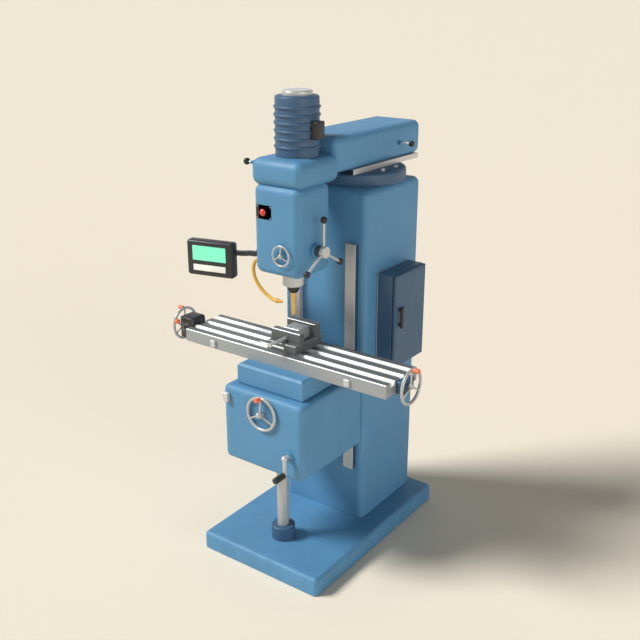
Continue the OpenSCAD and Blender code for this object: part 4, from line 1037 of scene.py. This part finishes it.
# %% Louvres in the rear cover
wires, take, give = geometry("louvres", [("Width", "Float", 0.03), ("Rise", "Float", 0.004),
                                         ("Thickness", "Float", 0.005), ("Count", "Int", 8),
                                         ("Pitch", "Float", 0.02), ("Material", "Material", None)])
dome = wires.node("GeometryNodeMeshUVSphere", {"Segments": 16, "Rings": 8, "Radius": 1.0}).outputs[0]
size = wires.node("ShaderNodeCombineXYZ", {0: take["Width"], 1: take["Thickness"], 2: take["Rise"]}).outputs[0]
hood = wires.node("GeometryNodeTransform", {"Geometry": dome, "Scale": size}).outputs[0]
finish_tree(wires, give, on_seeds(wires, take["Seeds"], stacked(wires, take, 1, hood)), take["Material"])
louvre_tree = wires.tree
grow("rear_louvres", louvre_tree, [((x, 451, 1095), BACK) for x in (-52, 52)], dark_paint, "frame", "dark_paint",
     Width=38.0, Rise=5.0, Thickness=6.0, Count=9, Pitch=22.0)

# %% [markdown]
# ## Readout
# The readout is a black moulded case with wide round edges. It is turned towards the operator, so
# its forms are drawn square to its own frame and then turned to their place, which keeps their
# numbers readable. Two lugs and a pin at its back hold it, and small vents let its heat out.

# %% Case, screen and keys
TURN = Matrix.Rotation(math.radians(14), 3, "Z")
CASE = Vector((-413, -240, 1323))


def on_case(body):
    """Turn a form from the case's own frame, in mm, to its place."""
    for vert in body.verts:
        vert.co = TURN @ vert.co + CASE * MM
    return body


case_forms = [rounded_box((-115, -52, -83), (111, 0, 76), 13, 5)]
case_forms += [rounded_box((side * 11.4 - 3, -3, -2), (side * 11.4 + 3, 29, 14), 2.9, 4) for side in (-1, 1)]
case_forms += [rod(3, -15.5, 15.5, (0, 21, 6), "X", edge=0.8)]
dress("readout_shell", put_together("readout_shell", [on_case(form) for form in case_forms]), black_plastic,
      "readout", "black_plastic", "readout_case")
glass = rounded_box((-84.5, -53.5, -12.2), (77, -50, 53.5), 1.2, 3)
dress("readout_glass", as_mesh("readout_glass", on_case(glass)), screen, "readout", "screen", "readout_screen")
pad = rounded_box((-82.5, -53.5, -58.8), (75, -50, -31), 1.2, 3)
dress("readout_pad", as_mesh("readout_pad", on_case(pad)), key_strip, "readout", "key_strip", "readout_keys")

# %% Vents in the back of the case
vent_rows = [(tuple(CASE + TURN @ Vector((x, 0, 52))), tuple(TURN @ Vector(BACK))) for x in (-72, 70)]
grow("readout_vents", louvre_tree, vent_rows, black_plastic, "readout", "black_plastic",
     along=tuple(TURN @ Vector(RIGHT)), Width=20.0, Rise=1.5, Thickness=1.7, Count=6, Pitch=5.5)

# %% [markdown]
# ## Readout arm
# A bent tube carries the readout from a bracket on the head's side, and the case tilts on a pin
# at its end. The tube follows a line of points: a Geometry Nodes tree turns the line into a curve
# and sweeps a circle along it, which keeps the thickness even in the bends, as in a bent pipe.

# %% The bent tube and its joints
wires, take, give = geometry("bent tube", [("Radius", "Float", 0.01), ("Material", "Material", None)])
middle = wires.node("GeometryNodeMeshToCurve", {"Mesh": take["Seeds"]}).outputs[0]
section = wires.node("GeometryNodeCurvePrimitiveCircle", {"Resolution": 28, "Radius": take["Radius"]}).outputs[0]
swept = wires.node("GeometryNodeCurveToMesh", {"Curve": middle, "Profile Curve": section,
                                               "Fill Caps": True}).outputs[0]
finish_tree(wires, give, swept, take["Material"])
tube_tree = wires.tree
ARM_END = (-424, -194, 1329)
ARM = [(-146, -225, 1389), (-163, -221.5, 1387), (-178, -218.5, 1380), (-192, -215, 1367.5), (-208, -211.5, 1360),
       (-240, -203, 1355), (-275, -192, 1346), (-310, -181, 1337.5), (-350, -176, 1332), (-390, -179, 1329.5),
       (-417, -188, 1329), ARM_END]
arm_line = [tuple(p / MM) for p in smooth_line([Vector(p) * MM for p in ARM])]
arm = grow("arm_tube", tube_tree, [(p, UP) for p in arm_line], black_plastic, "swing_arm", "black_plastic",
           joined=True, Radius=12.4)
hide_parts("readout_arm")
stem = [tuple(CASE + TURN @ Vector((0, y, 6))) for y in (47, 27)]
grow("arm_stem", tube_tree, [(p, UP) for p in stem], black_plastic, "swing_arm", "black_plastic", joined=True,
     Radius=6.8)
eye_ring = ring(3.5, 8, -8, 8, (0, 21, 6), "X", steps=40, edge=1.0)
dress("arm_joints", put_together("arm_joints", [
    ring(5.5, 13, -15, 15, (-143, -225, 1389)), rod(13.5, -13, 13, ARM_END, edge=4.0),
    on_case(eye_ring)]), black_plastic, "swing_arm", "black_plastic")

# %% [markdown]
# ## Cutter
# The gold-coated cutter has three shallow flutes that wind up its lower half and a plain shank
# above. A profile with hollows, swept up a straight line that twists, gives exactly that; the
# line's tilt and radius are fields of the height, so twist and rounded tip come from one rule.

# %% A fluted cutter by a twisted sweep
wires, take, give = geometry("fluted cutter", [("Radius", "Float", 0.011), ("Length", "Float", 0.12),
                                               ("Turns", "Float", 1.2), ("Material", "Material", None)])
FLUTED, ROUNDED = 0.6, 0.06
tip = wires.node("ShaderNodeCombineXYZ", {2: take["Length"]}).outputs[0]
axis = wires.node("GeometryNodeCurvePrimitiveLine", {"Start": (0, 0, 0), "End": tip}).outputs[0]
axis = wires.node("GeometryNodeResampleCurve", {"Curve": axis, "Count": 90}).outputs[0]
factor = wires.node("GeometryNodeSplineParameter").outputs["Factor"]
wound = wires.math("MULTIPLY", wires.math("MINIMUM", factor, FLUTED), 6.2832 / FLUTED)
winding = wires.math("MULTIPLY", wound, take["Turns"])
axis = wires.node("GeometryNodeSetCurveTilt", {"Curve": axis, "Tilt": winding}).outputs[0]
near_tip = wires.math("SUBTRACT", 1.0, wires.remap(factor, 0.0, ROUNDED))
fallen = wires.math("MULTIPLY", near_tip, wires.math("MULTIPLY", near_tip, 0.8))
dome = wires.math("SQRT", wires.math("SUBTRACT", 1.001, fallen))
hollow, crest, round_off = [wires.math("MULTIPLY", take["Radius"], share) for share in (0.8, 1.02, 0.45)]
section = wires.node("GeometryNodeCurveStar", {"Points": 3, "Inner Radius": hollow,
                                               "Outer Radius": crest}).outputs[0]
section = wires.node("GeometryNodeFilletCurve", {"Curve": section, "Radius": round_off, "Count": 4},
                     mode="POLY").outputs[0]
flutes = wires.node("GeometryNodeCurveToMesh", {"Curve": axis, "Profile Curve": section, "Scale": dome,
                                                "Fill Caps": True}).outputs[0]
finish_tree(wires, give, on_seeds(wires, take["Seeds"], flutes), take["Material"])
TIP_Z = 1128
cutter = grow("cutter", wires.tree, [((*SPINDLE, TIP_Z), UP)], gold, "spindle", "gold_coating", Radius=10.6,
              Length=70.0, Turns=1)
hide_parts("end_mill")
dress("cutter_shank", as_mesh("cutter_shank", rod(10.6, TIP_Z + 62, TIP_Z + 122, (*SPINDLE, 0), edge=2.0)), gold,
      "spindle", "gold_coating")

# %% [markdown]
# ## Finishes of the solids
# Solids whose form is right stay as they are and only get their finish. One table from material
# to solids is easy to read against the real machine: paint on castings, bright metal on slides
# and shafts, black and orange on what the hand holds. Solids that a piece stands for get theirs
# too, so that none is left bare.

# %% Give each solid its finish
finishes = {
    blue_paint: "base column ram gear_housing head_casting knee saddle",
    dark_paint: "post_collar cabinet_door turret_ring motor_body readout_bracket screw_bracket",
    cabinet_paint: "cabinet_box",
    ways_steel: "column_ways",
    slide_steel: "ram_slideway",
    post_steel: "elevating_post",
    turned_steel: "quill spindle drive_sleeve motor_rotor elevating_screw table_screw vise_screw",
    bright_steel: "cabinet_hinges turret_bolts stop_dogs knee_clamp elevating_crank vise_bar",
    wheel_steel: "fine_feed_wheel cross_feed_wheel table_wheels",
    hub_steel: "feed_levers",
    rubber: "hose_fittings",
    cap_alloy: "motor_cap",
    gold: "end_mill",
    block_alloy: "work_block",
    table_iron: "table",
    vise_iron: "vise_base vise_jaw",
    black_plastic: "terminal_box switch_plate cabinet_handle feed_lever_balls readout_arm readout_case"
                   " crank_grip power_feed",
    blackened: "collet_nut",
    orange_plastic: "cross_feed_grip left_wheel_grip right_wheel_grip",
    red_plastic: "push_button",
    ram_lever: "ram_lock_lever",
    head_lever: "brake_lever",
    trip_lever: "feed_trip_lever",
    screen: "readout_screen",
    key_strip: "readout_keys",
}
for material, names in finishes.items():
    for name in names.split():
        for place in nodes[name].material_slots:
            place.material = material
left_out = set(nodes) - {n for names in finishes.values() for n in names.split()}
print("still undressed:", sorted(left_out))
